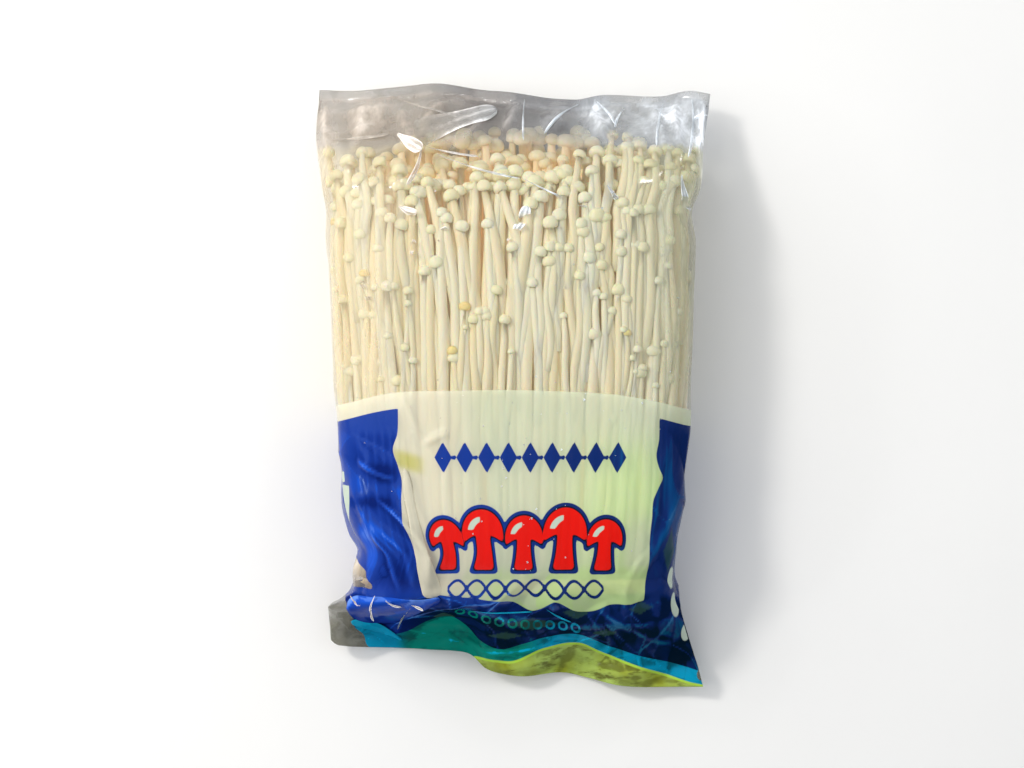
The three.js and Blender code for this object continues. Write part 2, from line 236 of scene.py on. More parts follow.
@dataclass(frozen=True)
class BagForm:
    """The plain form of the filled bag: that of the solids, with a finer outline.

    A section across the bag is a superellipse, pressed flat at its back by the table and at its
    front by the film's own pull. Stations along the bag give its width and thickness.
    """

    foot_y: float = -96.0
    top_y: float = 100.5
    power: float = 3.4
    flattening: float = 1.07
    edge_reach: float = 0.16
    sides: Stations = (
        (-103, -62.5, 67), (-90, -63.8, 63.2), (-81.5, -63.8, 59.6), (-77.5, -62.6, 57.8),
        (-74, -58.8, 56.6), (-70.5, -56.2, 55.4), (-62, -53.7, 54), (-55.5, -51.6, 54.8),
        (-49, -54.9, 55.5), (-39, -57.8, 56.6), (-25, -58.9, 57.6), (-5, -60.6, 59),
        (10, -61.4, 60.1), (40, -63, 60.5), (49, -63.4, 60.8), (58, -62.9, 60), (66, -64.4, 63),
        (78, -66.2, 64.4), (90, -67.4, 65.6), (103, -66.8, 67.2),
    )
    profile: Stations = (
        (-103, 4, 5.5), (-92, 4.4, 6.4), (-86, 3.6, 9.6), (-79, 1.2, 20.5), (-72, 0, 33.5),
        (-64, 0, 40.4), (-52, 0, 43.4), (-30, 0, 44), (30, 0, 44), (54, 0, 43.2),
        (66, 0, 40.2), (75, 0, 34.4), (82, 1.4, 27), (88, 4.2, 19.8), (93, 7.2, 14.6),
        (97.5, 9.6, 11.6), (103, 10.2, 11.7),
    )
    top_edge: Stations = (
        (-67, 101.2), (-50, 100.8), (-27, 103.5), (-7, 101), (20, 97.6), (31, 99.8), (50, 99),
        (59, 100.8), (67, 99.4),
    )
    foot_edge: Stations = (
        (-64, -86.6), (-62.8, -88.3), (-60.5, -89.6), (-41, -91.2), (-20, -91.8), (-15, -93),
        (-10, -97.6), (-5, -99.4), (3, -100.4), (16, -99.6), (26, -101.7), (36, -103.6), (48, -104.3),
        (65, -104),
    )
    top_waves: Stations = ((2.4, 58, 0.6), (0.9, 23, 2.0))
    foot_waves: Stations = ((1.9, 64, 2.4), (1.2, 31, 0.4))
    top_wave_start: float = 82.0
    foot_wave_start: float = -76.0
    wave_run: float = 14.0
    fold_y: float = -77.5
    fold_half_length: float = 6.5
    fold_height: float = 3.6
    weld_thinning: float = 0.86
    top_weld: Pair = (0.95, 0.995)
    foot_weld: Pair = (0.03, 0.01)
    rim_steps: int = 720

    def face(self, column: int, y: Array) -> Array:
        """Height of the plain back (column 1) or front (column 2) at y, no lower than the table."""
        return np.maximum(along(self.profile, y, column), 0)

    def slant(self, column: int, y: Array) -> Array:
        """Distance down through a face that slopes along the bag, for each unit square to it."""
        return np.hypot(1, (self.face(column, y + 1) - self.face(column, y - 1)) / 2)

    def section(self, y: Array, inset: Array | float) -> tuple[Array, Array, Array, Array]:
        """The section at y, taken in by inset square to the film.

        Args:
            y: where along the bag.
            inset: how far inside the film.

        Returns:
            Its left and right x, the z of its middle, and half its thickness.
        """
        left = along(self.sides, y, 1) + inset
        right = along(self.sides, y, 2) - inset
        back = self.face(1, y) + inset * self.slant(1, y)
        front = self.face(2, y) - inset * self.slant(2, y)
        return left, right, (back + front) / 2, (front - back) / 2

    def swell(self, x: Array, y: Array) -> Array:
        """How far the waves of the two flat ends lift both films: a sum of sines of x.

        Args:
            x: place across the table.
            y: place along the table.

        Returns:
            The lift at each place.
        """
        total = np.zeros(np.broadcast(x, y).shape)
        for waves, start in ((self.top_waves, self.top_wave_start), (self.foot_waves, self.foot_wave_start)):
            grown = ramp(abs(start), abs(start) + self.wave_run, y * math.copysign(1, start))
            for height, length, phase in waves:
                total = total + grown * height * np.sin(2 * math.pi * x / length + phase)
        return total

    def arc(self, across: Array) -> Array:
        """Height of the superellipse over across, both as shares of its half sizes."""
        return (1 - np.abs(across) ** self.power) ** (1 / self.power)

    def turned(self, angle: Array) -> tuple[Array, Array]:
        """Across and deep at an angle: its cosine and sine, raised to 2 over the superellipse's power."""
        across, deep = np.cos(angle), np.sin(angle)
        root = 2 / self.power
        return np.sign(across) * np.abs(across) ** root, np.sign(deep) * np.abs(deep) ** root

    def film(self, across: Array, share: Array, face: Array) -> Array:
        """Points of the film.

        x is across times the half width. z is the section's middle, up or down by its half
        thickness times the superellipse's height, plus the swell and the roll under the butt.

        Args:
            across: from -1 at the left edge to 1 at the right.
            share: from 0 at the foot to 1 at the top.
            face: 1 for the front and -1 for the back.

        Returns:
            The points, with x, y and z in the last axis.
        """
        row = self.foot_y + (self.top_y - self.foot_y) * share
        left, right, middle, half = self.section(row, 0.0)
        x = across * np.where(across < 0, -left, right)
        height = np.minimum(self.flattening * self.arc(across), 1) * half * self.weld(share)
        y = row + ramp(1 - self.edge_reach, 1, share) * (along(self.top_edge, x) - self.top_y)
        y = y + ramp(self.edge_reach, 0, share) * (along(self.foot_edge, x) - self.foot_y)
        roll = self.fold_height * np.exp(-(((row - self.fold_y) / self.fold_half_length) ** 2))
        z = middle + face * height + self.swell(x, row) + np.where(face > 0, roll, 0)
        return np.stack(np.broadcast_arrays(x, y, z), axis=-1)

    def weld(self, share: Array) -> Array:
        """Thins the two ends, where the films are welded together, to a seventh of the solids'."""
        return 1 - self.weld_thinning * np.maximum(ramp(*self.top_weld, share), ramp(*self.foot_weld, share))

    def inside(self, across: Array, deep: Array, y: Array, inset: Array | float) -> Array:
        """Points inside the bag: across and deep run from -1 to 1 over the section taken in by inset.

        Args:
            across: from the left to the right.
            deep: from the back to the front.
            y: where along the bag.
            inset: how far inside the film the section lies.

        Returns:
            The points, with x, y and z in the last axis.
        """
        left, right, middle, half = self.section(y, inset)
        x = across * np.where(across < 0, -left, right)
        top_swell = self.swell(x, y) * (y > 0)
        return np.stack(np.broadcast_arrays(x, y, middle + deep * half + top_swell), axis=-1)

    def press(self, points: Array, gap: float) -> Array:
        """Presses points back inside the film, as it flattens the caps that reach it.

        A point outside the superellipse that lies gap inside the film is drawn in towards the
        section's middle until it is on it.

        Args:
            points: the points, with x, y and z in the last axis.
            gap: how far inside the film they stay.

        Returns:
            The pressed points.
        """
        x, y, z = np.moveaxis(points, -1, 0)
        left, right, middle, half = self.section(y, gap)
        width = np.where(x < 0, -left, right)
        middle = middle + self.swell(x, y) * (y > 0)
        across, deep = x / width, (z - middle) / half
        reach = (np.abs(across) ** self.power + np.abs(deep) ** self.power) ** (1 / self.power)
        shrink = 1 / np.maximum(reach, 1)
        return np.stack([across * shrink * width, y, middle + deep * shrink * half], axis=-1)

    def rim(self, inset: float, pitch: float, start: float = 0.0) -> Array:
        """Places round the rim of the section at y 0, one pitch apart.

        Args:
            inset: how far inside the film the rim lies.
            pitch: from one place to the next, along the rim.
            start: how far along the rim the first place is.

        Returns:
            One row of across and deep for each place.
        """
        _, right, _, half = self.section(np.array(0.0), inset)
        place = np.stack(self.turned(circle(self.rim_steps)), axis=-1)
        steps = np.hypot(*(np.diff(place, axis=0) * [float(right), float(half)]).T)
        travelled = np.concatenate([[0.0], np.cumsum(steps)])
        count = int((travelled[-1] - start) // pitch) + 1
        return place[np.searchsorted(travelled, np.arange(count) * pitch + start - 1e-9)]


# ---- The mushrooms


@dataclass
class Crop:
    """A number of mushrooms, one entry of each array for each of them."""

    across: Array
    deep: Array
    root: Array
    tip: Array
    inset: Array
    sway: Array
    bow: Array
    stem: Array
    cap: Array
    dome: Array
    # how deep in the bunch, from 0 to 1: it sets the flesh's painted warm shade and glow
    depth: Array
    sink: Array

    def column(self, name: str) -> Array:
        """One of the arrays as a column, to be spread over the rings of each mushroom."""
        return getattr(self, name)[:, None]


@dataclass(frozen=True)
class MushroomShape:
    """The turned outline of one mushroom, and how many rings and sides it gets.

    The stem runs from a slightly thicker root to the cap, and thins quickly just under it. The cap
    is nearly a ball, with its margin rolled in over a flat underside. cap_outline gives radius and
    height over the cap's radius, for a cap as high as full_dome.
    """

    stem_rings: int
    sides: int
    root_swell: float = 1.16
    neck: float = 1.0
    taper: float = 0.34
    taper_length: float = 6.0
    bend: Pair = (0.2, 1.5)
    tilt: float = 0.12
    full_dome: float = 1.45
    fuller: float = 1.13
    film_gap: float = 0.7
    ring_packing: float = 0.9
    sink_fade: float = 1.5
    bend_waves: Pair = (1.2, 2.6)
    bend_up: float = 0.6
    lumps: float = 0.05
    lump_waves: Pair = (4, 9)
    oval: float = 0.05
    root_depth: float = 0.5
    fresh_tone: float = 0.94
    largest_withered: float = 2.1
    earth_below: float = -50.0
    cap_outline: Stations = (
        (0.44, -0.02), (0.72, 0.02), (0.92, 0.20), (1.00, 0.52), (0.94, 0.88), (0.73, 1.20), (0.40, 1.40),
    )

    def mesh(self, form: BagForm, crop: Crop, seed: int) -> Skin:
        """Points, faces and attributes of a crop of mushrooms.

        Ring centres follow the bag's form up to the neck, with a bow across and a slow bend of their
        own. Each ring stands square to that path, and the cap's rings rise straight along its end.

        Args:
            form: the bag that the mushrooms lean on.
            crop: the mushrooms.
            seed: for the bends, the tilts of the caps and the tones.

        Returns:
            What make_piece takes after the name.
        """
        rng = np.random.default_rng(seed)
        count = len(crop.across)
        length = (crop.tip - crop.root)[:, None]
        neck = length - crop.column("dome") * crop.column("cap")
        share = np.linspace(0, 1, self.stem_rings)[None, :] ** self.ring_packing
        height = share * neck
        lean = np.clip(crop.column("across") + crop.column("sway") * height / length, -1, 1)
        inset = crop.column("inset") + crop.column("sink") * (1 - height / length) ** self.sink_fade
        deep = np.clip(crop.column("deep"), -form.arc(lean), form.arc(lean))
        centre = form.inside(lean, deep, crop.column("root") + height, inset)
        bend = crop.column("bow") * np.sin(math.pi * height / length) * (1 - crop.column("across") ** 2)
        phase = rng.uniform(0, 2 * math.pi, (2, count, 1))
        waves = rng.uniform(*self.bend_waves, (2, count, 1))
        size = rng.uniform(*self.bend, (2, count, 1)) * np.sin(math.pi * share)
        centre[..., 0] += bend + size[0] * np.sin(waves[0] * math.pi * share + phase[0])
        centre[..., 2] += self.bend_up * size[1] * np.sin(waves[1] * math.pi * share + phase[1])
        path = np.gradient(centre, axis=1)
        path /= np.linalg.norm(path, axis=-1, keepdims=True)
        tilt_x, tilt_z = rng.normal(0, self.tilt, (count, 1)), rng.normal(0, self.tilt, (count, 1))
        axis = path[:, -1:, :] + np.stack([tilt_x, np.zeros((count, 1)), tilt_z], axis=-1)
        axis /= np.linalg.norm(axis, axis=-1, keepdims=True)
        outline = np.asarray(self.cap_outline)
        cap, dome = crop.column("cap"), crop.column("dome")
        rise = dome / self.full_dome * cap * outline[None, :, 1]
        cap_centre = centre[:, -1:, :] + axis * rise[..., None]
        swell = self.root_swell + (self.neck - self.root_swell) * share
        lumps = 1 + self.lumps * np.sin(rng.uniform(*self.lump_waves, (count, 1)) * share + phase[0])
        under_cap = 1 - self.taper * np.exp(-(neck - height) / self.taper_length)
        stem = crop.column("stem") * swell * lumps * under_cap
        radius = np.concatenate([stem * self.fuller, cap * outline[None, :, 0]], axis=1)
        centre = np.concatenate([centre, cap_centre], axis=1)
        path = np.concatenate([path, np.repeat(axis, len(outline), axis=1)], axis=1)
        side = np.cross(path, [0.0, 0.0, 1.0])
        side /= np.linalg.norm(side, axis=-1, keepdims=True)
        up = np.cross(side, path)
        angle = circle(self.sides)
        oval = 1 + self.oval * np.cos(2 * angle[None, None, :] + rng.uniform(0, 6.28, (count, 1, 1)))
        turn = -angle[None, None, :, None]
        ring = np.cos(turn) * side[:, :, None, :] + np.sin(turn) * up[:, :, None, :]
        skin = centre[:, :, None, :] + (radius[..., None] * oval)[..., None] * ring
        rings = skin.shape[1]
        bottom = centre[:, 0] - path[:, 0] * self.root_depth
        top = centre[:, self.stem_rings - 1] + axis[:, 0] * (dome * cap)
        points = np.concatenate([skin.reshape(count, -1, 3), bottom[:, None], top[:, None]], axis=1)
        points = form.press(points, self.film_gap)
        each = points.shape[1]
        start = (np.arange(count) * each)[:, None, None]
        quads = (ring_faces(rings, self.sides)[None] + start).reshape(-1, 4)
        poles = (end_fans(rings, self.sides)[None] + start).reshape(-1, 3)
        is_cap = np.repeat((np.arange(rings) >= self.stem_rings).astype(float), self.sides)
        is_cap = np.tile(np.concatenate([is_cap, [0.0, 1.0]]), count)
        freshness = np.where(crop.cap > self.largest_withered, self.fresh_tone, 1.0)
        tone = np.repeat(rng.uniform(0, 1, count) * freshness, each)
        # depth sets the flesh's painted warm shade and glow
        depth = np.repeat(crop.depth, each)
        up_one = np.concatenate([np.repeat(np.r_[share[0], np.ones(len(outline))], self.sides), [0.0, 1.0]])
        clean_foot = np.repeat(crop.root > self.earth_below, each)
        up_stem = np.maximum(np.tile(up_one, count), clean_foot)
        attributes = {"is_cap": is_cap, "tone": tone, "depth": depth, "up_stem": up_stem}
        return points.reshape(-1, 3), [quads, poles], attributes


@dataclass(frozen=True)
class Bunch:
    """The whole bunch: the ring of mushrooms just under the film, those inside it, and the core."""

    seed: int = 20
    root_y: float = -60.0
    sunk: float = 4.0
    butt_y: float = -70.0
    row_inset: float = 2.9
    short_back: float = 0.4
    tall_back: float = 1.5
    side_out: float = 0.9
    side_from: float = 0.93
    tall_at_back: float = 0.54
    tall_at_front: float = 0.34
    tall_cap: Pair = (2.6, 0.6)  # for these five, the least and how much more at most
    short_cap: Pair = (2.2, 0.6)
    tall_drop: Pair = (0, 7)
    short_drop: Pair = (12, 58)
    outer_stem: Pair = (1.35, 0.35)
    sway: float = 0.06
    bow: float = 5.0
    dome: float = 1.45
    tallest_tip: float = 81.5
    drop_to_front: float = 7.5
    drop_to_sides: float = 5.0
    half_width: float = 60.0
    ring_closing: float = 0.1
    short_share: Pair = (0.5, 0.25)  # of the first inner ring, and of the deeper ones
    deep_root_y: float = 20.0
    young_gap: Pair = (0.9, 0.75)  # for these three, a length, and a share of the cap on top
    standing_gap: Pair = (0.75, 0.9)
    leaning_gap: Pair = (0.75, 0.95)
    young_cap: Pair = (1.2, 2.3)  # for these three, the least and the most
    young_stem: Pair = (0.8, 1.2)
    standing_length: Pair = (42, 60)
    young_sink: float = 1.5
    leaning_sink: float = 4.0
    front_cap_scale: float = 1.12
    ring_insets: tuple[float, ...] = (4.9, 7.2, 10.0, 13.2, 17.0)
    outer_pitch: float = 3.75
    young_count: int = 70
    fronts: Stations = (  # x and y of the tip and radius of the cap, of short ones on the front
        (-13.7, 23.3, 1.8), (-11.6, 25.8, 1.6), (-8.8, 24.4, 1.9), (-3.5, 23.3, 1.9), (-6.1, 33, 1.9),
        (-16.4, 27.5, 1.8), (-29.5, 39.4, 2), (-25.6, 42.9, 2.5), (-20.5, 13, 1.8), (-34.1, 9.3, 1.4),
        (-36.6, 13.9, 1.5), (-42.4, 17.6, 1.6), (-44.9, 47, 2), (-47, 24.6, 1.6), (-50.5, 52, 2.1),
        (-54.5, 44, 1.9), (-57, 30, 1.8), (-52, 62, 2.2), (-57.5, 56, 2.1), (-53.5, 9, 1.3),
        (12.1, 56, 2.4), (16, 58.4, 2.4), (22.4, 55.3, 2.2), (28.9, 58.5, 2.7), (8.8, 45.9, 2),
        (11.8, 47.5, 1.9), (15.2, 47, 2), (18.2, 46.8, 1.7), (22.4, 37.8, 1.9), (25.6, 44.3, 2.2),
        (27.9, 31.8, 1.5), (30.2, 30.5, 1.5), (5.8, 35.5, 1.9), (36.2, 51.5, 2), (37.5, 62.2, 2.4),
        (36.4, 45.9, 1.8), (43.6, 47.5, 2), (38.5, 18.5, 1.5), (42.1, 13.2, 1.5), (40.1, 10, 1.2),
        (44, 7, 1.6), (41.3, 5.4, 1.2), (-0.4, 47.5, 2.1), (49.5, 36, 1.7), (53, 50, 2),
        (56, 26, 1.6), (51, 15, 1.3), (57.5, 60, 2.1), (-37.5, 55, 2.1), (-40, 34, 1.7),
        (-23, 57, 2.1), (-9, 55, 2.1), (47, 60, 2.2), (-34, 63, 2.3), (-1, 12, 1.1),
        (16.5, 24, 1.3), (48.5, 1, 1.2), (-45, 3, 1.2),
        (31.9, 86.8, 1.8), (36.5, 86, 1.8), (36.7, 82.6, 2.3), (26.8, 80.6, 2.5), (21.2, 79.1, 2),
        (31.8, 77.6, 2.4), (41, 83.2, 2), (46, 81.4, 2.2), (40, 77, 2.1), (44.8, 75.7, 2.4),
        (50.3, 81.8, 2), (53.7, 80.2, 2), (51.6, 74.9, 2), (59.4, 82, 2.1), (57.6, 78.4, 2.4),
        (59, 74.6, 1.9), (25.2, 73.2, 2.3), (17.1, 73.6, 2.3), (52.6, 70.4, 2), (42.5, 69.4, 1.7),
        (-59.6, 81, 2.1), (-54.1, 77.6, 2.6), (-48.4, 80.6, 2), (-43, 76.6, 2.3), (-37, 73.9, 2.5),
        (-50, 71, 2.4), (-58, 72.4, 2.2), (-45, 69.4, 2), (-55, 66.8, 2.2),
    )
    strays: Stations = (  # x and y of the foot, x and y of the tip, bow, radius of the stem and the cap
        (-29, -14, -52, 37, 2, 1.7, 2.1), (-22.5, -8, -16.2, 19.9, 1.6, 0.8, 1.1),
        (38.5, -14, 29, 41.5, 2, 1.6, 2.2), (36.5, 20, 28.4, 47, 1.2, 1.2, 1.8),
        (30, -16, 33.5, 26, -1.6, 1.6, 1.9), (0, -16, 6, 62.2, -2, 1.9, 2.7),
        (4, -18, 9.5, 64.5, -2.4, 1.8, 2.8), (-10, -16, -21.5, 65, 2.6, 1.8, 2.8),
        (-17, -16, -28.9, 69.3, 2.6, 1.7, 2.6), (-4, -14, -10.5, 68, 2.4, 1.6, 2.5),
        (6, 2, -5.2, 67.6, 2.4, 1.6, 2.5), (-19, -18, -33, 66, 1.8, 1.5, 2.3),
        (-46, -10, -41, 57, 2, 1.4, 2.3), (50, -16, 43, 60, -2, 1.5, 2.4),
        (20, -16, 17, 66, -2.6, 1.6, 2.6), (43, -16, 38, 30, 2.2, 1.3, 1.9),
        (-40, -16, -37, 68, -2.4, 1.6, 2.5), (26.5, -16, 24, 64, 2, 1.6, 2.6),
    )
    core_inset: float = 9.0
    butt_inset: float = 3.0
    core_top_y: float = 44.0
    core_sides: int = 240
    core_rows: int = 60
    outer_shape: MushroomShape = MushroomShape(stem_rings=16, sides=12)
    young_shape: MushroomShape = MushroomShape(stem_rings=10, sides=10)
    inner_shape: MushroomShape = MushroomShape(stem_rings=7, sides=8)

    def tallest(self, across: Array, deep: Array) -> Array:
        """Height of the tallest mushroom at a place: highest at the back and in the middle."""
        return self.tallest_tip - self.drop_to_front * deep - self.drop_to_sides * across**2

    def outer(self, form: BagForm) -> Crop:
        """The ring of mushrooms under the film, drawn in the same order as for the solids.

        Args:
            form: the bag that they lean on.

        Returns:
            The mushrooms.
        """
        draw = Draw(self.seed)
        rows = []
        for across, deep in form.rim(self.row_inset, self.outer_pitch):
            tall = draw.one() < (self.tall_at_back if deep < 0 else self.tall_at_front)
            cap = draw.between(*(self.tall_cap if tall else self.short_cap))
            drop = draw.between(*(self.tall_drop if tall else self.short_drop))
            sway, bow = (draw.one() - 0.5) * self.sway, (draw.one() - 0.5) * self.bow
            stem, tip = draw.between(*self.outer_stem), self.tallest(across, deep) - drop
            inset = self.row_inset + (self.tall_back if tall else self.short_back)
            inset -= self.side_out * (abs(across) > self.side_from)
            rows.append((across, deep, tip, sway, bow, stem, cap, inset))
        across, deep, tip, sway, bow, stem, cap, inset = np.array(rows).T
        root = np.full_like(across, self.root_y - self.sunk)
        dome = np.full_like(across, self.dome)
        none = np.zeros_like(across)
        return Crop(across, deep, root, tip, inset, sway, bow, stem, cap, dome, none, none)

    def inner(self, form: BagForm) -> Crop:
        """The mushrooms inside that ring: ring after ring, each a step deeper than the last.

        Args:
            form: the bag that they lean on.

        Returns:
            The mushrooms.
        """
        rng = np.random.default_rng(self.seed + 1)
        parts = []
        for ring, inset in enumerate(self.ring_insets, start=1):
            places = form.rim(inset, self.outer_pitch - self.ring_closing * ring, self.outer_pitch / 2)
            count = len(places)
            across = np.clip(places[:, 0] + rng.normal(0, 0.012, count), -1, 1)
            deep = np.clip(places[:, 1] + rng.normal(0, 0.02, count), -1, 1)
            short = rng.uniform(0, 1, count) < self.short_share[ring > 1]
            drop = np.where(short, rng.uniform(9, 48, count), 12 * rng.uniform(0, 1, count) ** 1.4)
            tip = self.tallest(across, deep * (1 - ring / 7)) + 2.5 - drop - 6 * ramp(0.75, 1, np.abs(across))
            root = np.full(count, self.root_y - self.sunk if ring < 3 else self.deep_root_y)
            cap = np.where(short, rng.uniform(1.7, 2.5, count), rng.uniform(2.2, 3.5, count))
            parts.append(np.stack([  # here and below, in the order of a crop's entries
                across, deep, root, tip, np.full(count, inset), rng.normal(0, 0.03, count),
                rng.uniform(-3, 3, count), rng.uniform(1.3, 1.8, count), cap,
                rng.uniform(1.2, 1.55, count), np.full(count, ring / len(self.ring_insets)), np.zeros(count),
            ]))
        return Crop(*np.concatenate(parts, axis=1))

    def young(self, form: BagForm) -> Crop:
        """Small thin mushrooms between the outer stems, and those that stand or lean on the front.

        Args:
            form: the bag that they lean on.

        Returns:
            The mushrooms: some at random on the sides and the back, and the placed ones on the front.
        """
        rng = np.random.default_rng(self.seed + 2)
        places = form.rim(self.row_inset, self.outer_pitch)
        places = (places + np.roll(places, -1, axis=0)) / 2
        places = places[(places[:, 1] < 0.96) & (places[:, 1] > -0.99)]
        places = places[rng.permutation(len(places))[: self.young_count]]
        count = len(places)
        cap = rng.uniform(*self.young_cap, count)
        tip = 72 - 82 * rng.uniform(0, 1, count) ** 0.8
        crop = np.stack([
            places[:, 0], places[:, 1], np.full(count, self.root_y), tip,
            self.young_gap[0] + self.young_gap[1] * cap, rng.normal(0, 0.025, count),
            rng.uniform(-3, 3, count), rng.uniform(*self.young_stem, count), cap,
            rng.uniform(1.3, 1.6, count), np.zeros(count), np.full(count, self.young_sink),
        ])
        tip_x, tip_y, cap = np.array(self.fronts).T * [[1.0], [1.0], [self.front_cap_scale]]
        count = len(cap)
        foot_x = tip_x + rng.normal(0, 1.8, count)
        standing = np.stack([
            foot_x / self.half_width, np.ones(count),
            tip_y - rng.uniform(*self.standing_length, count), tip_y,
            self.standing_gap[0] + self.standing_gap[1] * cap, (tip_x - foot_x) / self.half_width,
            rng.uniform(-1.6, 1.6, count), 0.42 * cap + rng.uniform(0.2, 0.5, count), cap,
            rng.uniform(1.35, 1.6, count), np.zeros(count), rng.uniform(0.5, 2.5, count),
        ])
        foot_x, foot_y, tip_x, tip_y, bow, stem, cap = np.array(self.strays).T
        count = len(cap)
        leaning = np.stack([
            foot_x / self.half_width, np.ones(count), foot_y, tip_y,
            self.leaning_gap[0] + self.leaning_gap[1] * cap, (tip_x - foot_x) / self.half_width, bow, stem,
            cap, np.full(count, self.dome), np.zeros(count), np.full(count, self.leaning_sink),
        ])
        return Crop(*np.concatenate([crop, standing, leaning], axis=1))

    def core(self, form: BagForm) -> Skin:
        """The butt and the mass of close stems in the middle.

        Rings of the bag's section, pushed in and out by ribs that run along the stems, and closed
        by a point at each end.

        Args:
            form: the bag that the core fills.

        Returns:
            What make_piece takes after the name.
        """
        sides, rows = self.core_sides, self.core_rows
        share = np.linspace(0, 1, rows)[:, None]
        y = self.butt_y + (self.core_top_y - self.butt_y) * share
        angle = circle(sides)[None, :]
        across, deep = form.turned(angle)
        butt = ramp(self.root_y + 8, self.butt_y + 2, y)
        size = 1 - 0.12 * ramp(0.9, 1, share) - 0.1 * ramp(0.04, 0, share)
        ribs = 1 + 0.018 * np.sin(angle * 61 + 0.6 * np.sin(7 * share * math.pi)) * (1 - butt)
        lumps = 1 + butt * (0.02 * np.sin(angle * 17 + y) + 0.015 * np.sin(angle * 29 - 1.7 * y))
        inset = self.core_inset + (self.butt_inset - self.core_inset) * butt
        skin = form.inside(across * size * ribs * lumps, deep * size * ribs * lumps, y, inset)
        ends = np.stack([skin[0].mean(axis=0), skin[-1].mean(axis=0)])
        points = np.concatenate([skin[:, ::-1].reshape(-1, 3), ends])
        blank = np.zeros(len(points))
        earth = np.append(np.repeat(butt[:, 0], sides), [1.0, 0.0])
        # the core has full depth, so it gets the most painted warm shade and glow
        attributes = {"is_cap": blank, "tone": blank + 0.5, "depth": blank + 1, "up_stem": 1 - earth}
        return points, [ring_faces(rows, sides), end_fans(rows, sides)], attributes


# ---- The film


@dataclass(frozen=True)
class Crease:
    """One fold of the film: a ridge along a bowed line on the front, tapered to both ends."""

    start: Pair
    end: Pair
    width: float
    height: float
    bow: float = 0.0

    def height_at(self, u: Array, v: Array) -> Array:
        """Height of the ridge.

        The height falls off with the distance from the line as e to the minus distance over width,
        rounded at the crest.

        Args:
            u: place round the bag.
            v: place along it.

        Returns:
            The height at each place.
        """
        run = np.subtract(self.end, self.start)
        length = float(np.hypot(*run))
        du, dv = u - self.start[0], v - self.start[1]
        share = (du * run[0] + dv * run[1]) / length**2
        off = (dv * run[0] - du * run[1]) / length - self.bow * 4 * share * (1 - share)
        taper = ramp(-0.02, 0.3, share) * ramp(1.02, 0.7, share)
        return self.height * taper * np.exp(1 - np.sqrt(1 + (2 * off / self.width) ** 2))


def crumple(u: Array, v: Array, size: float, seed: int, folds: int = 6) -> Array:
    """The surface of crumpled film: flat facets between sharp ridges.

    It sums waves of random direction, each 1 minus twice the size of a sine, so that its crests are
    sharp. Each wave is bent by the one before it.

    Args:
        u: distance round the bag.
        v: place along it.
        size: the usual distance between ridges.
        seed: for the directions, lengths and phases.
        folds: how many waves are summed.

    Returns:
        Heights from about -1 to 1.
    """
    rng = np.random.default_rng(seed)
    total, warp, weight = 0.0, 0.0, 0.0
    for step in range(folds):
        angle = rng.uniform(0, math.pi)
        length = size * rng.uniform(0.7, 1.5) * 0.82**step
        where = (u * math.cos(angle) + v * math.sin(angle)) * math.pi / length
        where = where + rng.uniform(0, 6.28) + 1.1 * warp
        total = total + (1 - 2 * np.abs(np.sin(where))) * 0.8**step
        weight += 0.8**step
        warp = np.sin(0.7 * where + rng.uniform(0, 6.28))
    return total / weight * 1.6


def facets(
    u: Array, v: Array, size: Pair, turn: float, seed: int, tones: bool = False
) -> Array:
    """The surface of crushed film: flat three-cornered facets between sharp creases.

    The plane is turned and gently warped by sines, and then cut into cells. Every corner of a cell
    has a random height. Each cell is split along one of its diagonals, at random, and the height on
    either half is that of the plane through its three corners.

    Args:
        u: place across.
        v: place along.
        size: length and width of a cell.
        turn: by how much the cells are turned, in radians.
        seed: for the heights and the diagonals.
        tones: whether to give one number for each facet instead.

    Returns:
        Heights from -1 to 1, or tones from 0 to 1.
    """
    rng, cells = np.random.default_rng(seed), 64
    corners, splits = rng.uniform(-1, 1, (cells, cells)), rng.uniform(0, 1, (cells, cells)) < 0.5
    tone = rng.uniform(0, 1, (2, cells, cells))
    a = (u * math.cos(turn) + v * math.sin(turn)) / size[0]
    b = (v * math.cos(turn) - u * math.sin(turn)) / size[1]
    warped = a + 0.30 * np.sin(1.7 * b + seed) + 0.13 * np.sin(4.1 * b)
    a, b = warped, b + 0.30 * np.sin(1.3 * a + 2 * seed)
    i, j = np.floor(a).astype(int), np.floor(b).astype(int)
    fa, fb = a - i, b - j
    i, j, next_i, next_j = i % cells, j % cells, (i + 1) % cells, (j + 1) % cells
    if tones:
        first = np.where(splits[i, j], fa + fb < 1, fa > fb).astype(int)
        return tone[first, i, j]
    here, right = corners[i, j], corners[next_i, j]
    above, across = corners[i, next_j], corners[next_i, next_j]
    falling = np.where(
        fa + fb < 1, here + fa * (right - here) + fb * (above - here),
        across + (1 - fa) * (above - across) + (1 - fb) * (right - across))
    rising = np.where(
        fa > fb, here + fa * (right - here) + fb * (across - right),
        here + fb * (above - here) + fa * (across - above))
    return np.where(splits[i, j], falling, rising)


@dataclass(frozen=True)
class Facets:
    """One layer of crushed facets: its height, the size and turn of its cells, and its seed."""

    height: float
    size: Pair
    turn: float
    seed: int

    def heights(self, u: Array, v: Array) -> Array:
        """The layer's height at each place."""
        return self.height * facets(u, v, self.size, self.turn, self.seed)

    def tones(self, u: Array, v: Array) -> Array:
        """One number for each facet, from 0 to the layer's height."""
        return self.height * facets(u, v, self.size, self.turn, self.seed, True)


def neighbours(grid: Array) -> list[Array]:
    """The four neighbours of every value of a grid, as four grids."""
    return [np.roll(grid, shift, axis=axis) for axis in (0, 1) for shift in (-1, 1)]


def soften(grid: Array, passes: int) -> Array:
    """Evens out a grid: in each pass every value moves halfway to the mean of its four neighbours.

    Args:
        grid: the values.
        passes: how many passes there are.

    Returns:
        The even grid.
    """
    for _ in range(passes):
        grid = 0.5 * grid + 0.125 * sum(neighbours(grid))
    return grid


